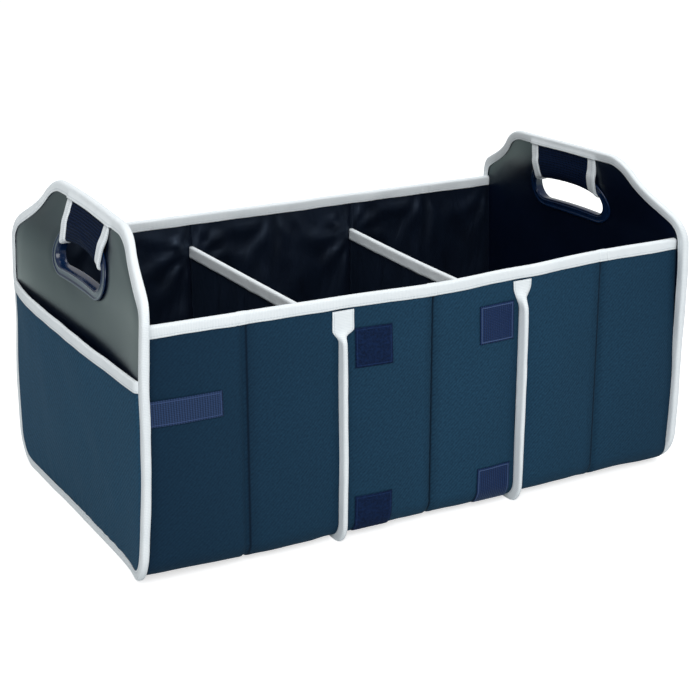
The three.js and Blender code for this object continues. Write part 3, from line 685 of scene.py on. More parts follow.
for index in range(3):
    start, end = compartment_edges(index)
    piece = lay_cloth(
        f"lining_cloth_{index + 1}", (84, 150), (200, TROUGH),
        lambda u, v: on_trough(
            mix(start, end, u), v * TROUGH, -INNER_DEPTH - lining_relief(mix(start, end, u), v * TROUGH)),
        thickness=0.5)
    dress(piece, nylon, [f"section_{index + 1}_lining"])

# %% [markdown]
# ## Folded tape
# Every binding is the same thing: a strip of tape folded over an edge. In section it goes up one side, round
# the edge and down the other. This helper gives that section, and each binding sweeps it along its own edge.

# %% Section of a folded tape
def folded_tape(share, half, side_width, radius):
    """Place across the edge and distance below its top, for a share from 0 to 1 of the tape's width."""
    flat = half - radius
    arc = math.pi / 2 * radius
    side = side_width - radius
    total = flat + arc + side
    run = abs(2 * share - 1) * total
    sign = -1 if share < 0.5 else 1
    if run < flat:
        return sign * run, 0.0
    if run < flat + arc:
        turn = (run - flat) / radius
        return sign * (flat + radius * math.sin(turn)), radius * (1 - math.cos(turn))
    return sign * half, radius + run - flat - arc


def tape_width(half, side_width, radius):
    """The width of the flat tape before it is folded."""
    return 2 * (half - radius + math.pi / 2 * radius + side_width - radius)


def stitch_dip(down, row):
    """How much a row of stitches presses on the tape, from 0 to 1, near its distance below the edge."""
    return bell(down - row, 1.1)


# %% Tape over the top of the front and back walls
WALL_TAPE_OUT, WALL_TAPE_IN, WALL_SIDE, WALL_TURN = 172.2, 165, 11.0, 2.4
wall_half = (WALL_TAPE_OUT - WALL_TAPE_IN) / 2
wall_tape_width = tape_width(wall_half, WALL_SIDE, WALL_TURN)
wall_tape = white_tape(wall_tape_width, "ribbed_white_wall_tape")


def overlap_mark(x):
    """The tape is doubled and sewn down at each fold of the wall."""
    fold = nearest(x, FOLDS)
    return 0.5 * (1 - ease(fold, 4.2, 5.2)) - 0.45 * bell(fold - 5.4, 0.8)


def wall_tape_at(side):
    def place(u, v):
        x = mix(-INNER_END, INNER_END, u)
        across, down = folded_tape(v, wall_half, WALL_SIDE, WALL_TURN)
        press = 0.35 * stitch_dip(down, WALL_SIDE - ROW_INSET)
        swell = 0.35 * unevenness(x, down, 21, 34, 12) + overlap_mark(x) - press
        grow = swell * clamp(abs(across) / wall_half)
        y = WALL_TAPE_OUT - wall_half - across
        edge_wave = 0.35 * unevenness(x, 0, 22, 25, 1) * ease(down, 4, 12)
        outward = 1 if across < 0 else -1
        follow = bow(x, BOW_TOP - 3) * 0.6 * ease(down, 2, 12) if across < 0 else 0
        z = WALL_TOP - down + edge_wave + 0.25 * unevenness(x, 0, 23, 60, 1)
        z += max(overlap_mark(x), 0) * 0.4
        return settled(x, side * (y + outward * grow + follow), z)

    return place


for side, name in ((-1, "front"), (1, "back")):
    piece = lay_cloth(f"{name}_wall_tape", (360, 20), (2 * INNER_END, wall_tape_width), wall_tape_at(side),
        thickness=0.8, turn=side > 0)
    dress(piece, wall_tape, [f"{name}_top_binding"])

# %% [markdown]
# ## Taped seams beside the dividers
# Where two compartments meet, the cut edges of their cloth stand out together as a fin, and tape is folded
# round it. At the top the tape opens out flat on the wall like the neck of a bottle, and under the organizer
# the fin is flattened by its weight. No two are sewn alike, so each has its own five numbers: how far the fin
# stands out, how far down its tape lies flat, where the tape has closed round the fin, half the width of the
# flat part, and how far the fin leans aside.

# %% Taped seams
FIN_TOP, NOSE, FIN_TAPE_HALF, FLAT_ASIDE = BOW_TOP - SEAT, 2.35, 12.5, 1.6
FINS = {-100: (10.5, 19, 31, 11.3, -0.8), 100: (12.2, 5, 30, 10.4, 0.6)}
fin_tape = white_tape(2 * FIN_TAPE_HALF, "ribbed_white_seam_tape")
FIN_START, FIN_END = CLOTH_TOP - FIN_TOP, TROUGH - (CLOTH_TOP - FIN_TOP)


def fin_section(distance, reach):
    """Place across the fin and out from the wall, at a distance along the tape from the fin's nose."""
    arc = math.pi / 2 * NOSE
    if distance < arc:
        turn = distance / NOSE
        return NOSE * math.sin(turn), reach - NOSE + NOSE * math.cos(turn)
    return NOSE, reach - NOSE - (distance - arc)


def fin_tape_at(middle):
    reach_out, still_flat, closed, flat_half, aside = FINS[middle]

    def place(u, v):
        s = mix(FIN_START, FIN_END, u)
        down = min(s - FIN_START, FIN_END - s)
        under = ease(down, WALL - 4, WALL + BEND - 6)
        reach = mix(reach_out, FLOOR, under)
        opened = 1 - ease(down, still_flat, closed)
        distance = abs(2 * v - 1) * FIN_TAPE_HALF
        sign = -1 if v < 0.5 else 1
        across, out = fin_section(distance, reach)
        across += 0.3 * unevenness(s, 0, 31 + middle, 40, 1) * (1 - abs(2 * v - 1))
        out = max(out, -0.6)
        flat_across, flat_out = distance * flat_half / FIN_TAPE_HALF, SEAT + TAPE + 0.25
        pinch = 1 - 0.25 * ease(down, 0.6 * closed, 0.95 * closed) * opened
        across = mix(across, flat_across * pinch, opened)
        out = mix(out, flat_out, opened)
        lean = 1.3 * math.sin(math.pi * clamp(down / WALL)) * clamp(out / 10) * (1 - opened)
        lean += 0.6 * unevenness(s, 0, 33 + middle, 70, 1) * clamp(out / 10)
        x = middle + mix(aside, FLAT_ASIDE, opened) + sign * across + lean
        ripple = 0.25 * unevenness(s, v * 20, 35, 18, 8)
        belly = bow(x, trough(s)[1])
        y, z, out_y, out_z = trough(s)
        total = out + ripple + belly * opened
        if out_z < -0.1:  # under the organizer the tape rests on the ground and never goes through it
            total = min(total, (z - 0.1) / -out_z)
        return settled(x, y + total * out_y, z + total * out_z)

    return place


for number, middle in enumerate(SEAMS):
    piece = lay_cloth(f"seam_tape_{number + 1}", (320, 20), (FIN_END - FIN_START, 2 * FIN_TAPE_HALF),
        fin_tape_at(middle), thickness=0.8)
    dress(piece, fin_tape, [f"divider_{number + 1}_seam_binding"])

# %% [markdown]
# ## Dividers
# A divider is a board in a sleeve of the lining nylon, sewn to both walls, with tape over its top. The sleeve
# is slightly loose, so it has faint creases.

# %% Dividers
DIVIDER_HALF = WALLS_WIDTH / 2 - INNER_DEPTH - SEAT
DIVIDER_THICK, DIVIDER_TAPE_HALF, DIVIDER_TURN, DIVIDER_ROW = 3.0, 2.7, 1.6, 10.3


def divider_half_width(z):
    """Half the clear width between the linings at a height."""
    turn = CORNER - INNER_DEPTH - SEAT
    if z >= CORNER_TOP:
        return DIVIDER_HALF
    drop = clamp((CORNER_TOP - z) / turn)
    return WALLS_WIDTH / 2 - CORNER + turn * math.sqrt(1 - drop * drop)


def divider_rise(x, y):
    """The left divider is sewn in a little high, most of all at the front, and the right one a little low."""
    share = 0.5 - 0.5 * y / DIVIDER_HALF
    return mix(4, 7, share) if x < 0 else mix(-1.5, -3, share) - 2.2 * math.sin(math.pi * share)


def divider_face(x):
    def place(u, v):
        z = mix(FLOOR + INNER_DEPTH + SEAT, DIVIDER_TOP - TAPE - SEAT, v)
        y = (2 * u - 1) * divider_half_width(z)
        z += divider_rise(x, y) * ease(v, 0.2, 1.0)
        inner = ease(abs(2 * u - 1), 1.0, 0.9) * ease(z, 10, 30)
        crease = 0.5 * unevenness(y, z, 41, 34, 60) * inner
        return x + DIVIDER_THICK / 2 + crease * 0.6, y, z

    return place


# %% Tape over the dividers
divider_tape_width = tape_width(DIVIDER_TAPE_HALF, TAPE_WIDTH, DIVIDER_TURN)
divider_tape = white_tape(divider_tape_width, "ribbed_white_divider_tape")


def divider_tape_at(x):
    def place(u, v):
        y = mix(-1, 1, u) * (DIVIDER_HALF - 0.1)
        across, down = folded_tape(v, DIVIDER_TAPE_HALF, TAPE_WIDTH, DIVIDER_TURN)
        swell = 0.3 * unevenness(y, down, 43, 30, 12) - 0.3 * stitch_dip(down, DIVIDER_ROW)
        rise = divider_rise(x, y) + 0.25 * unevenness(y, 0, 44, 30, 1) * ease(down, 4, 12)
        aside = math.copysign(swell, across) * clamp(abs(across) / DIVIDER_TAPE_HALF)
        return x - across - aside, y, DIVIDER_TOP - down + rise

    return place


for number, x in enumerate(SEAMS):
    piece = lay_cloth(f"divider_sleeve_{number + 1}", (60, 40), (2 * DIVIDER_HALF, 202), divider_face(x),
        thickness=DIVIDER_THICK)
    dress(piece, nylon, [f"divider_{number + 1}"])
    piece = lay_cloth(f"divider_tape_{number + 1}", (140, 18), (2 * DIVIDER_HALF, divider_tape_width),
        divider_tape_at(x), thickness=0.8)
    dress(piece, divider_tape, [f"divider_{number + 1}_top_binding"])

# %% [markdown]
# ## End panels
# An end panel is a board between two vinyl skins, with tape round its whole outline and a hand hole near its
# top. Above the walls it leans in a little. The outline is built from arcs, as it was cut. As sewn, the front
# foot is 3.5% nearer to the middle than the plan has it, the back shoulder 4%, and the crown stands higher on
# one side than on the other.

# %% Outline and lean of an end panel
LEAN_FROM, LEAN_BEND, LEAN = 248, 25, 0.3
NARROW_FOOT, NARROW_SHOULDER, CROWN_RISE = 0.035, 0.04, 2.5


def lean(z):
    """How far an end panel leans towards the middle at a height."""
    bend = clamp(z - LEAN_FROM, 0, LEAN_BEND)
    return LEAN * (bend * bend / (2 * LEAN_BEND) + max(z - LEAN_FROM - LEAN_BEND, 0))


def on_end(side, depth, y, z):
    """A point of an end panel at a depth below its outer face, as the panel has settled."""
    x = LENGTH / 2 - depth - lean(z) - pulled_in(side, y, z)
    narrow = NARROW_FOOT * (1 - ease(z, 100, 235)) if y < 0 else NARROW_SHOULDER * ease(z, 170, 255)
    return side * x, y * (1 - narrow), z + CROWN_RISE * (1 - side * y / 100) * ease(z, 250, END_TOP)


def arc_points(centre, radius, start, end, steps):
    """Points on an arc between two angles in degrees."""
    turns = [math.radians(mix(start, end, i / steps)) for i in range(steps + 1)]
    return [Vector((centre[0] + radius * math.cos(t), centre[1] + radius * math.sin(t))) for t in turns]


FOOT, SHOULDER, CROWN = 38, 30, 50  # the radii of the panel's rounded corners


def half_outline():
    """Half of the panel's edge as (y, z), from the middle of its bottom edge to the middle of its top."""
    half = END_WIDTH / 2
    foot = arc_points((half - FOOT, FOOT), FOOT, -90, 0, 12)
    shoulder = arc_points((half - SHOULDER, 248), SHOULDER, 0, 63, 9)
    crown = arc_points((82, END_TOP - CROWN), CROWN, 44, 90, 9)
    # Between shoulder and crown the edge is hollow: it leaves at 27 degrees and arrives at 46.
    pull = (shoulder[-1] - crown[0]).length / 3
    out_of = Vector((-math.cos(math.radians(27)), math.sin(math.radians(27))))
    into = Vector((-math.cos(math.radians(46)), math.sin(math.radians(46))))
    ends = (shoulder[-1], shoulder[-1] + pull * out_of, crown[0] - pull * into, crown[0])
    dip = []
    for i in range(1, 12):
        t = i / 12
        weights = ((1 - t) ** 3, 3 * t * (1 - t) ** 2, 3 * t * t * (1 - t), t**3)
        dip.append(sum((w * p for w, p in zip(weights, ends)), Vector((0, 0))))
    return [Vector((0, 0)), *foot, *shoulder, *dip, *crown, Vector((0, END_TOP))]


def closed_walk(points):
    """Functions for the point and the inward direction a share of the way round a closed line, and its length."""
    around = points + [points[0]]
    lengths = [0.0]
    for a, b in zip(around, around[1:]):
        lengths.append(lengths[-1] + (b - a).length)

    def at(share):
        run = (share % 1.0) * lengths[-1]
        low = 0
        high = len(lengths) - 1
        while high - low > 1:
            middle = (low + high) // 2
            low, high = (middle, high) if lengths[middle] <= run else (low, middle)
        part = (run - lengths[low]) / max(lengths[low + 1] - lengths[low], 1e-9)
        return around[low].lerp(around[low + 1], part)

    def inward(share):
        ahead = at(share + 0.0025) - at(share - 0.0025)
        return Vector((-ahead.y, ahead.x)).normalized()

    return at, inward, lengths[-1]


# %% The edge of an end panel
right_half = half_outline()
end_line = right_half + [Vector((-p.x, p.y)) for p in reversed(right_half[1:-1])]
edge_at, edge_inward, edge_length = closed_walk(end_line)
print(f"tape round an end panel: {edge_length:.0f} mm")

# %% [markdown]
# ## Tape round an end panel
# One tape goes all the way round the panel. Outside, its side is as wide as the tape allows. Inside it is cut
# short where the walls and the floor are sewn to the panel, and it swells over the strap of the grip, which is
# caught under it.

# %% Tape round an end panel
END_TAPE_HALF, END_SIDE, END_TURN = 3.6, 9.8, 2.6
end_tape_width = tape_width(END_TAPE_HALF, END_SIDE, END_TURN)
end_tape = white_tape(end_tape_width, "ribbed_white_end_tape")


def inside_walls(y, z, gap):
    """Whether a point of the panel's plane lies where the walls and floor are joined to it."""
    if z > WALL_TOP + gap or abs(y) > WALLS_WIDTH / 2 + 1.2 + gap or z < FLOOR - gap:
        return False
    if z < CORNER_TOP and abs(y) > WALLS_WIDTH / 2 - CORNER:
        return math.hypot(abs(y) - (WALLS_WIDTH / 2 - CORNER), z - CORNER_TOP) < CORNER + gap
    return True


def inner_flap(share):
    """How wide the tape's inner side can be before it meets the walls, tried in steps of half a millimetre."""
    edge, inward = edge_at(share), edge_inward(share)
    width = END_SIDE
    for step in range(2, 20):
        spot = edge + inward * (step / 2)
        if inside_walls(spot.x, spot.y, 0.4):
            width = step / 2 - 0.5
            break
    return max(width, 2.0)


def end_tape_at(side):
    def place(u, v):
        flap = inner_flap(u) if v > 0.5 else END_SIDE
        across, inset = folded_tape(v, END_TAPE_HALF, END_SIDE, END_TURN)
        if v > 0.5 and inset > END_TURN:
            inset = mix(END_TURN, max(flap, END_TURN + 0.01), (inset - END_TURN) / (END_SIDE - END_TURN))
        edge, inward = edge_at(u), edge_inward(u)
        run = u * edge_length
        wave = 0.5 * unevenness(run, 0, 51, 55, 1) * ease(inset, 3, 12)
        spot = edge + inward * (inset + wave)
        over_grip = (1 - ease(abs(spot.x), 57, 64)) * ease(spot.y, 285, 300) * ease(inset, 3, 10)
        press = 0.3 * stitch_dip(inset, END_SIDE - ROW_INSET)
        swell = 0.35 * unevenness(run, inset, 52, 30, 14) - press + 2.3 * over_grip
        full = clamp(abs(across) / END_TAPE_HALF)
        depth = END_TAPE_HALF + across - (swell if across < 0 else -swell) * full
        return on_end(side, depth, spot.x, spot.y)

    return place


for side, name in ENDS:
    piece = lay_cloth(f"{name}_edge_tape", (560, 20), (edge_length, end_tape_width), end_tape_at(side),
        thickness=0.8, turn=side > 0, joined=True)
    dress(piece, end_tape, [f"{name}_end_binding"])


# %% [markdown]
# ## The hand hole
# The hole is a slot with round ends whose two ends droop a little, like a smile upside down. Its outline can
# be grown by a distance, so the vinyl, the rim and the grip can all follow it.

# %% Outline of the hand hole
HOLE_CENTRE, HOLE_LENGTH, HOLE_HEIGHT, HOLE_ASIDE = 265.5, 120, 30, 2


def droop(y, above):
    """How far the hole droops at y: at its ends 6 mm on its upper edge and 2 mm on its lower edge."""
    return (y / (HOLE_LENGTH / 2)) ** 2 * (4 + 2 * above / (HOLE_HEIGHT / 2))


def hole_outline(grow, steps=18):
    radius = HOLE_HEIGHT / 2 + grow
    reach = (HOLE_LENGTH - HOLE_HEIGHT) / 2
    line = []
    for side in (1, -1):
        for i in range(steps + 1):
            turn = side * math.pi * (i / steps - 0.5)
            line.append(Vector((side * (reach + radius * math.cos(turn)), radius * math.sin(turn))))
        for i in range(1, steps):
            line.append(Vector((side * reach * (1 - 2 * i / steps), side * radius)))
    return [Vector((p.x + HOLE_ASIDE, HOLE_CENTRE + p.y - droop(p.x, p.y))) for p in line]


def edge_drop(y):
    """How far the hole's upper edge lies below its highest point, out to its round ends."""
    radius = HOLE_HEIGHT / 2
    past = clamp(abs(y) + radius - HOLE_LENGTH / 2, 0, radius * 0.98)
    return radius - math.sqrt(radius**2 - past**2) + droop(y, radius)


def ray_reach(line, centre, turn):
    """How far a ray from the centre goes before it meets a closed line."""
    ahead = Vector((math.cos(turn), math.sin(turn)))
    best = 0.0
    for a, b in zip(line, line[1:] + line[:1]):
        edge = b - a
        cross = ahead.x * edge.y - ahead.y * edge.x
        if abs(cross) < 1e-12:
            continue
        to_a = a - centre
        run = (to_a.x * edge.y - to_a.y * edge.x) / cross
        part = (to_a.x * ahead.y - to_a.y * ahead.x) / cross
        if run > 0 and -1e-9 <= part <= 1 + 1e-9:
            best = max(best, run)
    return best


# %% [markdown]
# ## Vinyl skins
# Each skin is one sheet with the hand hole cut out, so its mesh is a ring: it goes round the hole in one
# direction and from the hole out to the panel's edge in the other. The vinyl is pulled down under the tape
# and round the rim, and lies a hair proud between them.

# %% Vinyl skins
CENTRE = Vector((0, HOLE_CENTRE))
RAYS, SKIN_INSET = 200, 1.4
hole_line = hole_outline(2.2)
skin_reach = []
for i in range(RAYS + 1):
    turn = 2 * math.pi * i / RAYS - math.pi / 2
    skin_reach.append((ray_reach(hole_line, CENTRE, turn), ray_reach(end_line, CENTRE, turn)))


def skin_at(side, depth, out):
    def place(u, v):
        i = round(u * RAYS) % RAYS
        turn = 2 * math.pi * i / RAYS - math.pi / 2
        near, far = skin_reach[i]
        far -= SKIN_INSET
        run = mix(near, far, v**1.25)
        spot = CENTRE + Vector((math.cos(turn), math.sin(turn))) * run
        proud = 0.55 * ease(far - run, 8, 30) * ease(run - near, 6, 24)
        proud += 0.18 * unevenness(spot.x, spot.y, 61 + depth, 90, 90) * ease(far - run, 8, 40)
        return on_end(side, depth - out * proud, spot.x, spot.y)

    return place


layers = (  # name, node, material, slot, rings of faces, depth, way out, thickness
    ("end_card", "end_board", card, "grey_card", 10, 2.4, 0, 2.4),
    ("outer_vinyl", "end_outer_skin", vinyl, "navy_vinyl", 36, 1.2, 1, 0.7),
    ("inner_vinyl", "end_inner_skin", vinyl, "navy_vinyl", 36, 6.0, -1, 0.7),
)
for side, name in ENDS:
    for layer, node, material, slot, rings, depth, out, thickness in layers:
        faces_in = out < 0
        piece = lay_cloth(f"{name}_{layer}", (RAYS, rings), (900, 250), skin_at(side, depth, out),
            thickness=thickness, turn=(side < 0) == faces_in, joined=True)
        dress(piece, material, [f"{name}_{node}"])

# %% [markdown]
# ## Handle rims
# The rim is moulded in two parts that snap together through the panel: a flange with a sleeve outside and a
# ring inside. A moulded flange has a rounded bead along both of its edges with a shallow channel between
# them, and it is those beads that catch the light. The sleeve's mouth flares a little. Each part is a closed
# section, given by corners that are then rounded, swept round the hole's outline.

# %% Close a tube
def close_up(piece, sides=0):
    """Fills the open ends of a tube, if it has any of so many sides at most, and faces it outwards."""
    bm = bmesh.new()
    bm.from_mesh(piece.data)
    if sides:
        bmesh.ops.holes_fill(bm, edges=bm.edges, sides=sides)
    bmesh.ops.recalc_face_normals(bm, faces=bm.faces)
    bm.to_mesh(piece.data)
    bm.free()
    piece.data.shade_smooth()
    return piece


# %% Handle rims
def rounded_section(corners, times=2):
    """Cuts the corners of a closed section again and again, which rounds it like a moulding."""
    points = [Vector(p) for p in corners]
    for _ in range(times):
        points = [a.lerp(b, share) for a, b in zip(points, points[1:] + points[:1]) for share in (0.2, 0.8)]
    return points


def rim(name, side, corners):
    section = rounded_section(corners)
    grows = sorted({round(p.x, 3) for p in section})
    lines = {grow: closed_walk(hole_outline(grow))[0] for grow in grows}

    def place(u, v):
        point = section[round(v * len(section)) % len(section)]
        spot = lines[round(point.x, 3)](u)
        return on_end(side, point.y, spot.x, spot.y)

    return close_up(lay_cloth(name, (150, len(section)), (300, 40), place, joined=True))


# Each corner is how far it lies outside the hole's outline, and its depth below the panel's outer face.
outer_corners = [(0, 8.8), (0.3, 2.2), (1.3, -1.5), (2.2, -2.1), (3.2, -1.2), (7.6, -0.9), (8.6, -1.5),
    (10.2, -1.5), (11, -0.7), (11, 0.8), (1.6, 0.85), (1.6, 8.8)]
inner_corners = [(1.9, 6.35), (1.9, 8.6), (2.4, 9.2), (3.8, 9.2), (4.8, 8.5), (7.8, 8.3), (8.8, 8.7), (10.2, 8.7),
    (11, 7.9), (11, 6.35)]
for side, name in ENDS:
    dress(rim(f"{name}_outer_rim", side, outer_corners), plastic, [f"{name}_handle_rim_outer"])
    dress(rim(f"{name}_inner_rim", side, inner_corners), plastic, [f"{name}_handle_rim_inner"])

# %% [markdown]
# ## Padded grips
# The grip is a strap of air mesh that hangs from the top tape on the outside, goes under the hole's upper edge
# and up the inside, with white tape along both sides. The pad is puffed by a short cloth simulation with a
# little pressure inside, and the flat side tapes are laid directly.

# %% The strap's path
def smooth_line(points, times=3):
    """Cuts the corners of an open line again and again, and keeps its two ends."""
    line = [Vector(p) for p in points]
    for _ in range(times):
        cut = [line[0]]
        for a, b in zip(line, line[1:]):
            cut += [a.lerp(b, 0.25), a.lerp(b, 0.75)]
        line = cut + [line[-1]]
    return line


# The strap's middle line as depth and height, from the top tape outside to the top tape inside.
STRAP = smooth_line([(0.2, 311), (-0.4, 305), (-1.2, 300), (-3.6, 294), (-3.7, 288), (-3.7, 280.5),
    (-2.6, 277.9), (3.6, 277.7), (9.8, 277.9), (10.9, 280.5), (10.9, 288), (10.8, 294), (8.4, 299), (7.6, 305),
    (7.0, 311)])
strap_lengths = [0.0]
for a, b in zip(STRAP, STRAP[1:]):
    strap_lengths.append(strap_lengths[-1] + (b - a).length)
STRAP_LENGTH = strap_lengths[-1]
print(f"a grip's strap is {STRAP_LENGTH:.0f} mm long")


def strap_frame(share):
    """Depth and height on the strap's middle line, and the direction square to it."""
    run = clamp(share) * STRAP_LENGTH
    low = max(i for i, length in enumerate(strap_lengths[:-1]) if length <= run)
    part = (run - strap_lengths[low]) / (strap_lengths[low + 1] - strap_lengths[low])
    spot = STRAP[low].lerp(STRAP[low + 1], part)
    before, after = STRAP[max(low - 1, 0)], STRAP[min(low + 2, len(STRAP) - 1)]
    ahead = (after - before).normalized()
    return spot, Vector((ahead.y, -ahead.x))


def on_strap(side, share, y, out):
    spot, square = strap_frame(share)
    place = spot + square * out
    hang = clamp((307 - place.y) / 28)
    y *= 1.07 - 0.09 * ease(hang, 0, 1)
    return on_end(side, place.x, y, place.y - hang * edge_drop(y))


# %% The strap's two side tapes
GRIP_HALF, SIDE_TAPE_HALF = 55.0, 6.1
strap_tape = white_tape(2 * SIDE_TAPE_HALF, "ribbed_white_strap_tape")


def strap_section(half, thick):
    """A flat section with round edges, walked at an even pace."""
    flat = half - thick
    line = [Vector((flat + thick * math.cos(t), thick * math.sin(t)))
        for t in (math.pi * (i / 10 - 0.5) for i in range(11))]
    return closed_walk(line + [-p for p in line])[0]


def band_at(side, middle, half, thick):
    section = strap_section(half, thick)

    def place(u, v):
        spot = section(v)
        return on_strap(side, u, middle + spot.x, spot.y * mix(0.45, 1.0, ease(min(u, 1 - u), 0.0, 0.12)))

    return place


for side, name in ENDS:
    for end, middle in (("front", SIDE_TAPE_HALF - GRIP_HALF), ("rear", GRIP_HALF - SIDE_TAPE_HALF)):
        piece = lay_cloth(f"{name}_{end}_strap_tape", (90, 24), (STRAP_LENGTH, 4 * SIDE_TAPE_HALF),
            band_at(side, middle, SIDE_TAPE_HALF, 1.8), joined=True)
        dress(close_up(piece, sides=40), strap_tape, [f"{name}_grip_tape_{end}"])


# %% The pad between the tapes
PAD_HALF = GRIP_HALF - 11.9


def puff(piece, frames=16, most=1.1):
    """Cloth with a little pressure inside, each point moving no further than most, in millimetres."""
    start = [v.co.copy() for v in piece.data.vertices]
    held = piece.vertex_groups.new(name="sewn")
    held.add([i for i, co in enumerate(start) if abs(co.y) > (PAD_HALF * 0.96) * MM or co.z > 0.303], 1.0, "REPLACE")
    cloth = piece.modifiers.new("cloth", "CLOTH")
    cloth.settings.effector_weights.gravity = 0
    cloth.settings.use_pressure = True
    cloth.settings.uniform_pressure_force = 4
    cloth.settings.quality = 6
    cloth.settings.vertex_group_mass = held.name
    cloth.point_cache.frame_start, cloth.point_cache.frame_end = 1, frames
    for number in range(1, frames + 1):
        bpy.context.scene.frame_set(number)
    shown = piece.evaluated_get(bpy.context.evaluated_depsgraph_get())
    puffed = [v.co.copy() for v in shown.data.vertices]
    piece.modifiers.remove(cloth)
    bpy.context.scene.frame_set(1)
    moved = 0.0
    for vert, a, b in zip(piece.data.vertices, start, puffed):
        step = b - a
        if step.length > most * MM:
            step *= most * MM / step.length
        vert.co = a + step
        moved = max(moved, step.length)
    piece.vertex_groups.remove(held)
    print(f"{piece.name} puffed by up to {moved / MM:.2f} mm")


for side, name in ENDS:
    pad = lay_cloth(f"{name}_grip_cushion", (70, 60), (STRAP_LENGTH, 4 * PAD_HALF),
        band_at(side, 0, PAD_HALF, 1.5), joined=True)
    close_up(pad, sides=100)
    puff(pad)
    pad.data.shade_smooth()
    dress(pad, mesh_pad, [f"{name}_grip_pad"])

# %% [markdown]
# ## End pockets
# A pocket is one cloth sewn under the panel's tape along its sides and bottom. Its top edge is a little longer
# than the panel is wide, so it bellies and stands off the vinyl, with tape folded over it.

# %% Pockets
POCKET_INSET = END_SIDE - 1
POCKET_TOP, POCKET_SAG, POCKET_DROOP, POCKET_BELLY = 205, 0.5, 3, 9


def panel_half_width(z):
    """Half the clear width between the panel's tapes at a height."""
    if z >= FOOT:
        return END_WIDTH / 2 - POCKET_INSET
    drop = FOOT - z
    return END_WIDTH / 2 - FOOT + math.sqrt(max((FOOT - POCKET_INSET) ** 2 - drop * drop, 0))


def pocket_top(share):
    """The height of the cloth's top edge, which droops towards the front."""
    sunk = POCKET_SAG * (1 - share * share) + POCKET_DROOP * ease(-share, 0.1, 0.9)
    return POCKET_TOP - TAPE - SEAT - sunk


def on_pocket(side, share, z, out):
    """A point of the pocket's outer face, for a share from -1 to 1 of its width, moved out by a distance."""
    rise = clamp((z - POCKET_INSET) / (pocket_top(share) - POCKET_INSET), 0, 1.02)
    belly = POCKET_BELLY * (1 - share * share) * rise * (1.6 - 0.6 * rise)
    soft = 0.9 * unevenness(share * 170, z, 71 + side, 75, 85) + 0.35 * unevenness(share * 170, z, 73, 28, 34)
    soft *= (1 - share**4) * ease(rise, 0.0, 0.3)
    tuck = 0.5 * math.sin(share * 46 + 4 * noise.noise(Vector((share * 4, 1, side)))) * math.exp(-rise * 14)
    wide = panel_half_width(max(z, POCKET_INSET + 0.1))
    hem = min((1 - abs(share)) * wide, z - POCKET_INSET)
    off = 0.1 + belly + 1.4 * rise * ease(hem, 0, 6) + soft + tuck * (1 - share**4) + out * ease(hem, -0.5, 1.5)
    return on_end(side, -(off - 1.3 * (1 - ease(hem, 0.8, 3.2))), share * wide, z)


# %% Lay the pockets and their tape
POCKET_TAPE_HALF, POCKET_SIDE, POCKET_TURN = 1.7, 11.2, 1.2
pocket_tape_width = tape_width(POCKET_TAPE_HALF, POCKET_SIDE, POCKET_TURN)
pocket_tape = white_tape(pocket_tape_width, "ribbed_white_pocket_tape")
for side, name in ENDS:
    cloth = lay_cloth(
        f"{name}_pocket_cloth", (110, 64), (344, 188),
        lambda u, v: on_pocket(side, 2 * u - 1, mix(POCKET_INSET, pocket_top(2 * u - 1), v**1.1), 0),
        thickness=1.0, turn=side < 0)
    dress(cloth, pocket_cloth, [f"{name}_pocket"])

    def tape_place(u, v):
        share = 2 * u - 1
        across, down = folded_tape(v, POCKET_TAPE_HALF, POCKET_SIDE, POCKET_TURN)
        press = 0.25 * stitch_dip(down, POCKET_SIDE - ROW_INSET)
        swell = 0.3 * unevenness(share * 170, down, 75, 30, 14) - press
        out = -0.5 - across + (swell if across < 0 else -swell) * 0.8
        return on_pocket(side, share, pocket_top(share) + TAPE + SEAT - down, out)

    piece = lay_cloth(f"{name}_pocket_tape", (180, 18), (346, pocket_tape_width), tape_place, thickness=0.7,
        turn=side < 0)
    dress(piece, pocket_tape, [f"{name}_pocket_binding"])

# %% [markdown]
# ## Hook and loop patches on the front
# These squares and the strip hold the organizer shut when it is folded. Each is cut from tape with its edges
# sewn down, so it lies a little proud in its middle and dips at its border.

# %% Patches
def patch(name, node, x_from, z_top, size, material):
    width, height = size

    def place(u, v):
        x = x_from + u * width
        s = CLOTH_TOP - z_top + v * height
        inset = min(u * width, (1 - u) * width, v * height, (1 - v) * height)
        proud = 1.75 - 0.7 * (1 - ease(inset, 0.0, 1.2)) - 0.35 * bell(inset - 2.2, 0.7)
        soft = 0.2 * unevenness(x, s, 81 + z_top, 22, 22)
        return on_trough(x, s, proud + soft + max(outer_relief(x, s), -0.3))

    piece = lay_cloth(name, (36, 36), size, place, thickness=1.0, turn=True)
    return dress(piece, material, [node])


SQUARE, RIBBON = (40, 40), (70, 25)
LOOP_X, HOOK_X, UPPER, LOWER = -86.35, 52.35, 218, 46
loop = loop_tape(SQUARE)
hook = hook_tape("moulded_hook_tape", SQUARE, "#05122b", "#17325f", "#4d648c")
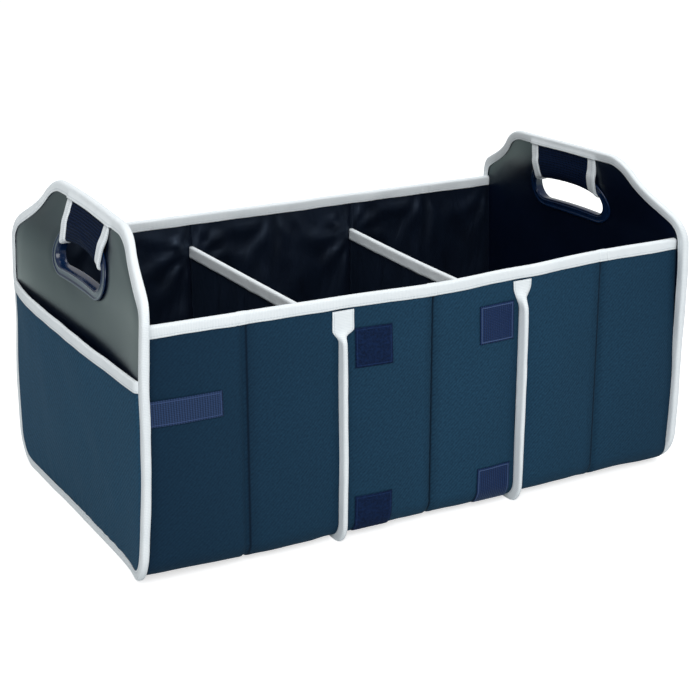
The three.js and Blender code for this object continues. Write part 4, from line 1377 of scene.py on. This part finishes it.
# The strip is the same hook tape as the squares, given lighter colours as a painted sheen where it catches the light
# at a slant.
strip = hook_tape("hook_strip_painted_sheen", RIBBON, "#0c1934", "#2a4268", "#3d507a")
for kind, x_from, material, slot in (("loop", LOOP_X, loop, "loop_pile"), ("hook", HOOK_X, hook, "hook_tape")):
    for level, z_top in (("upper", UPPER), ("lower", LOWER)):
        patch(f"{level}_{kind}_square", f"{level}_{kind}_patch", x_from, z_top, SQUARE, material)
patch("end_hook_tape", "end_hook_strip", -292.5, 181, RIBBON, strip)

# %% [markdown]
# ## Floor flaps
# In each compartment a stiff board in a nylon sleeve lies on the floor and can be lifted by its free edge.
# It is a thin slab with rounded corners and soft edges, bevelled from a box.

# %% Floor flaps
for index in range(3):
    low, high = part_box(f"floor_flap_{index + 1}")
    bm = bmesh.new()
    bmesh.ops.create_cube(bm, size=1.0)
    bmesh.ops.scale(bm, vec=high - low, verts=bm.verts)
    bmesh.ops.translate(bm, vec=(low + high) / 2, verts=bm.verts)
    upright = [e for e in bm.edges if abs(e.verts[0].co.z - e.verts[1].co.z) > 1 * MM]
    bmesh.ops.bevel(bm, geom=upright, offset=6 * MM, segments=6, profile=0.5, affect="EDGES", material=-1)
    rims = [e for e in bm.edges if len(e.link_faces) == 2 and e.calc_face_angle() > 1.0
        and abs(e.verts[0].co.z - e.verts[1].co.z) < 0.01 * MM]
    bmesh.ops.bevel(bm, geom=rims, offset=1.4 * MM, segments=3, profile=0.5, affect="EDGES", material=-1)
    flat = bm.loops.layers.uv.new("flat_cloth")
    for face in bm.faces:
        for corner in face.loops:
            corner[flat].uv = (corner.vert.co.x, corner.vert.co.y + corner.vert.co.z)
    flap = finish_mesh(bm, f"floor_sleeve_{index + 1}")
    dress(flap, nylon, [f"floor_flap_{index + 1}"], body=f"flap_{index + 1}")

# %% [markdown]
# ## Boards
# The boards inside the walls are plain card with a little bend. Nobody sees them, but they settle with the
# cloth round them, so they are laid in the same way.

# %% Wall boards
for index in range(6):
    low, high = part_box(f"front_board_{index + 1}")
    start, end = low[0] / MM, high[0] / MM
    for first, name in ((0, "front"), (TROUGH, "back")):
        top, bottom = CLOTH_TOP - high[2] / MM, CLOTH_TOP - low[2] / MM
        piece = lay_cloth(f"{name}_wall_card_{index + 1}", (12, 24), (end - start, bottom - top),
            lambda u, v: on_trough(mix(start, end, u), abs(first - mix(top, bottom, v)), -1.6),
            thickness=1.9, turn=name == "front")
        dress(piece, card, [f"{name}_board_{index + 1}"])
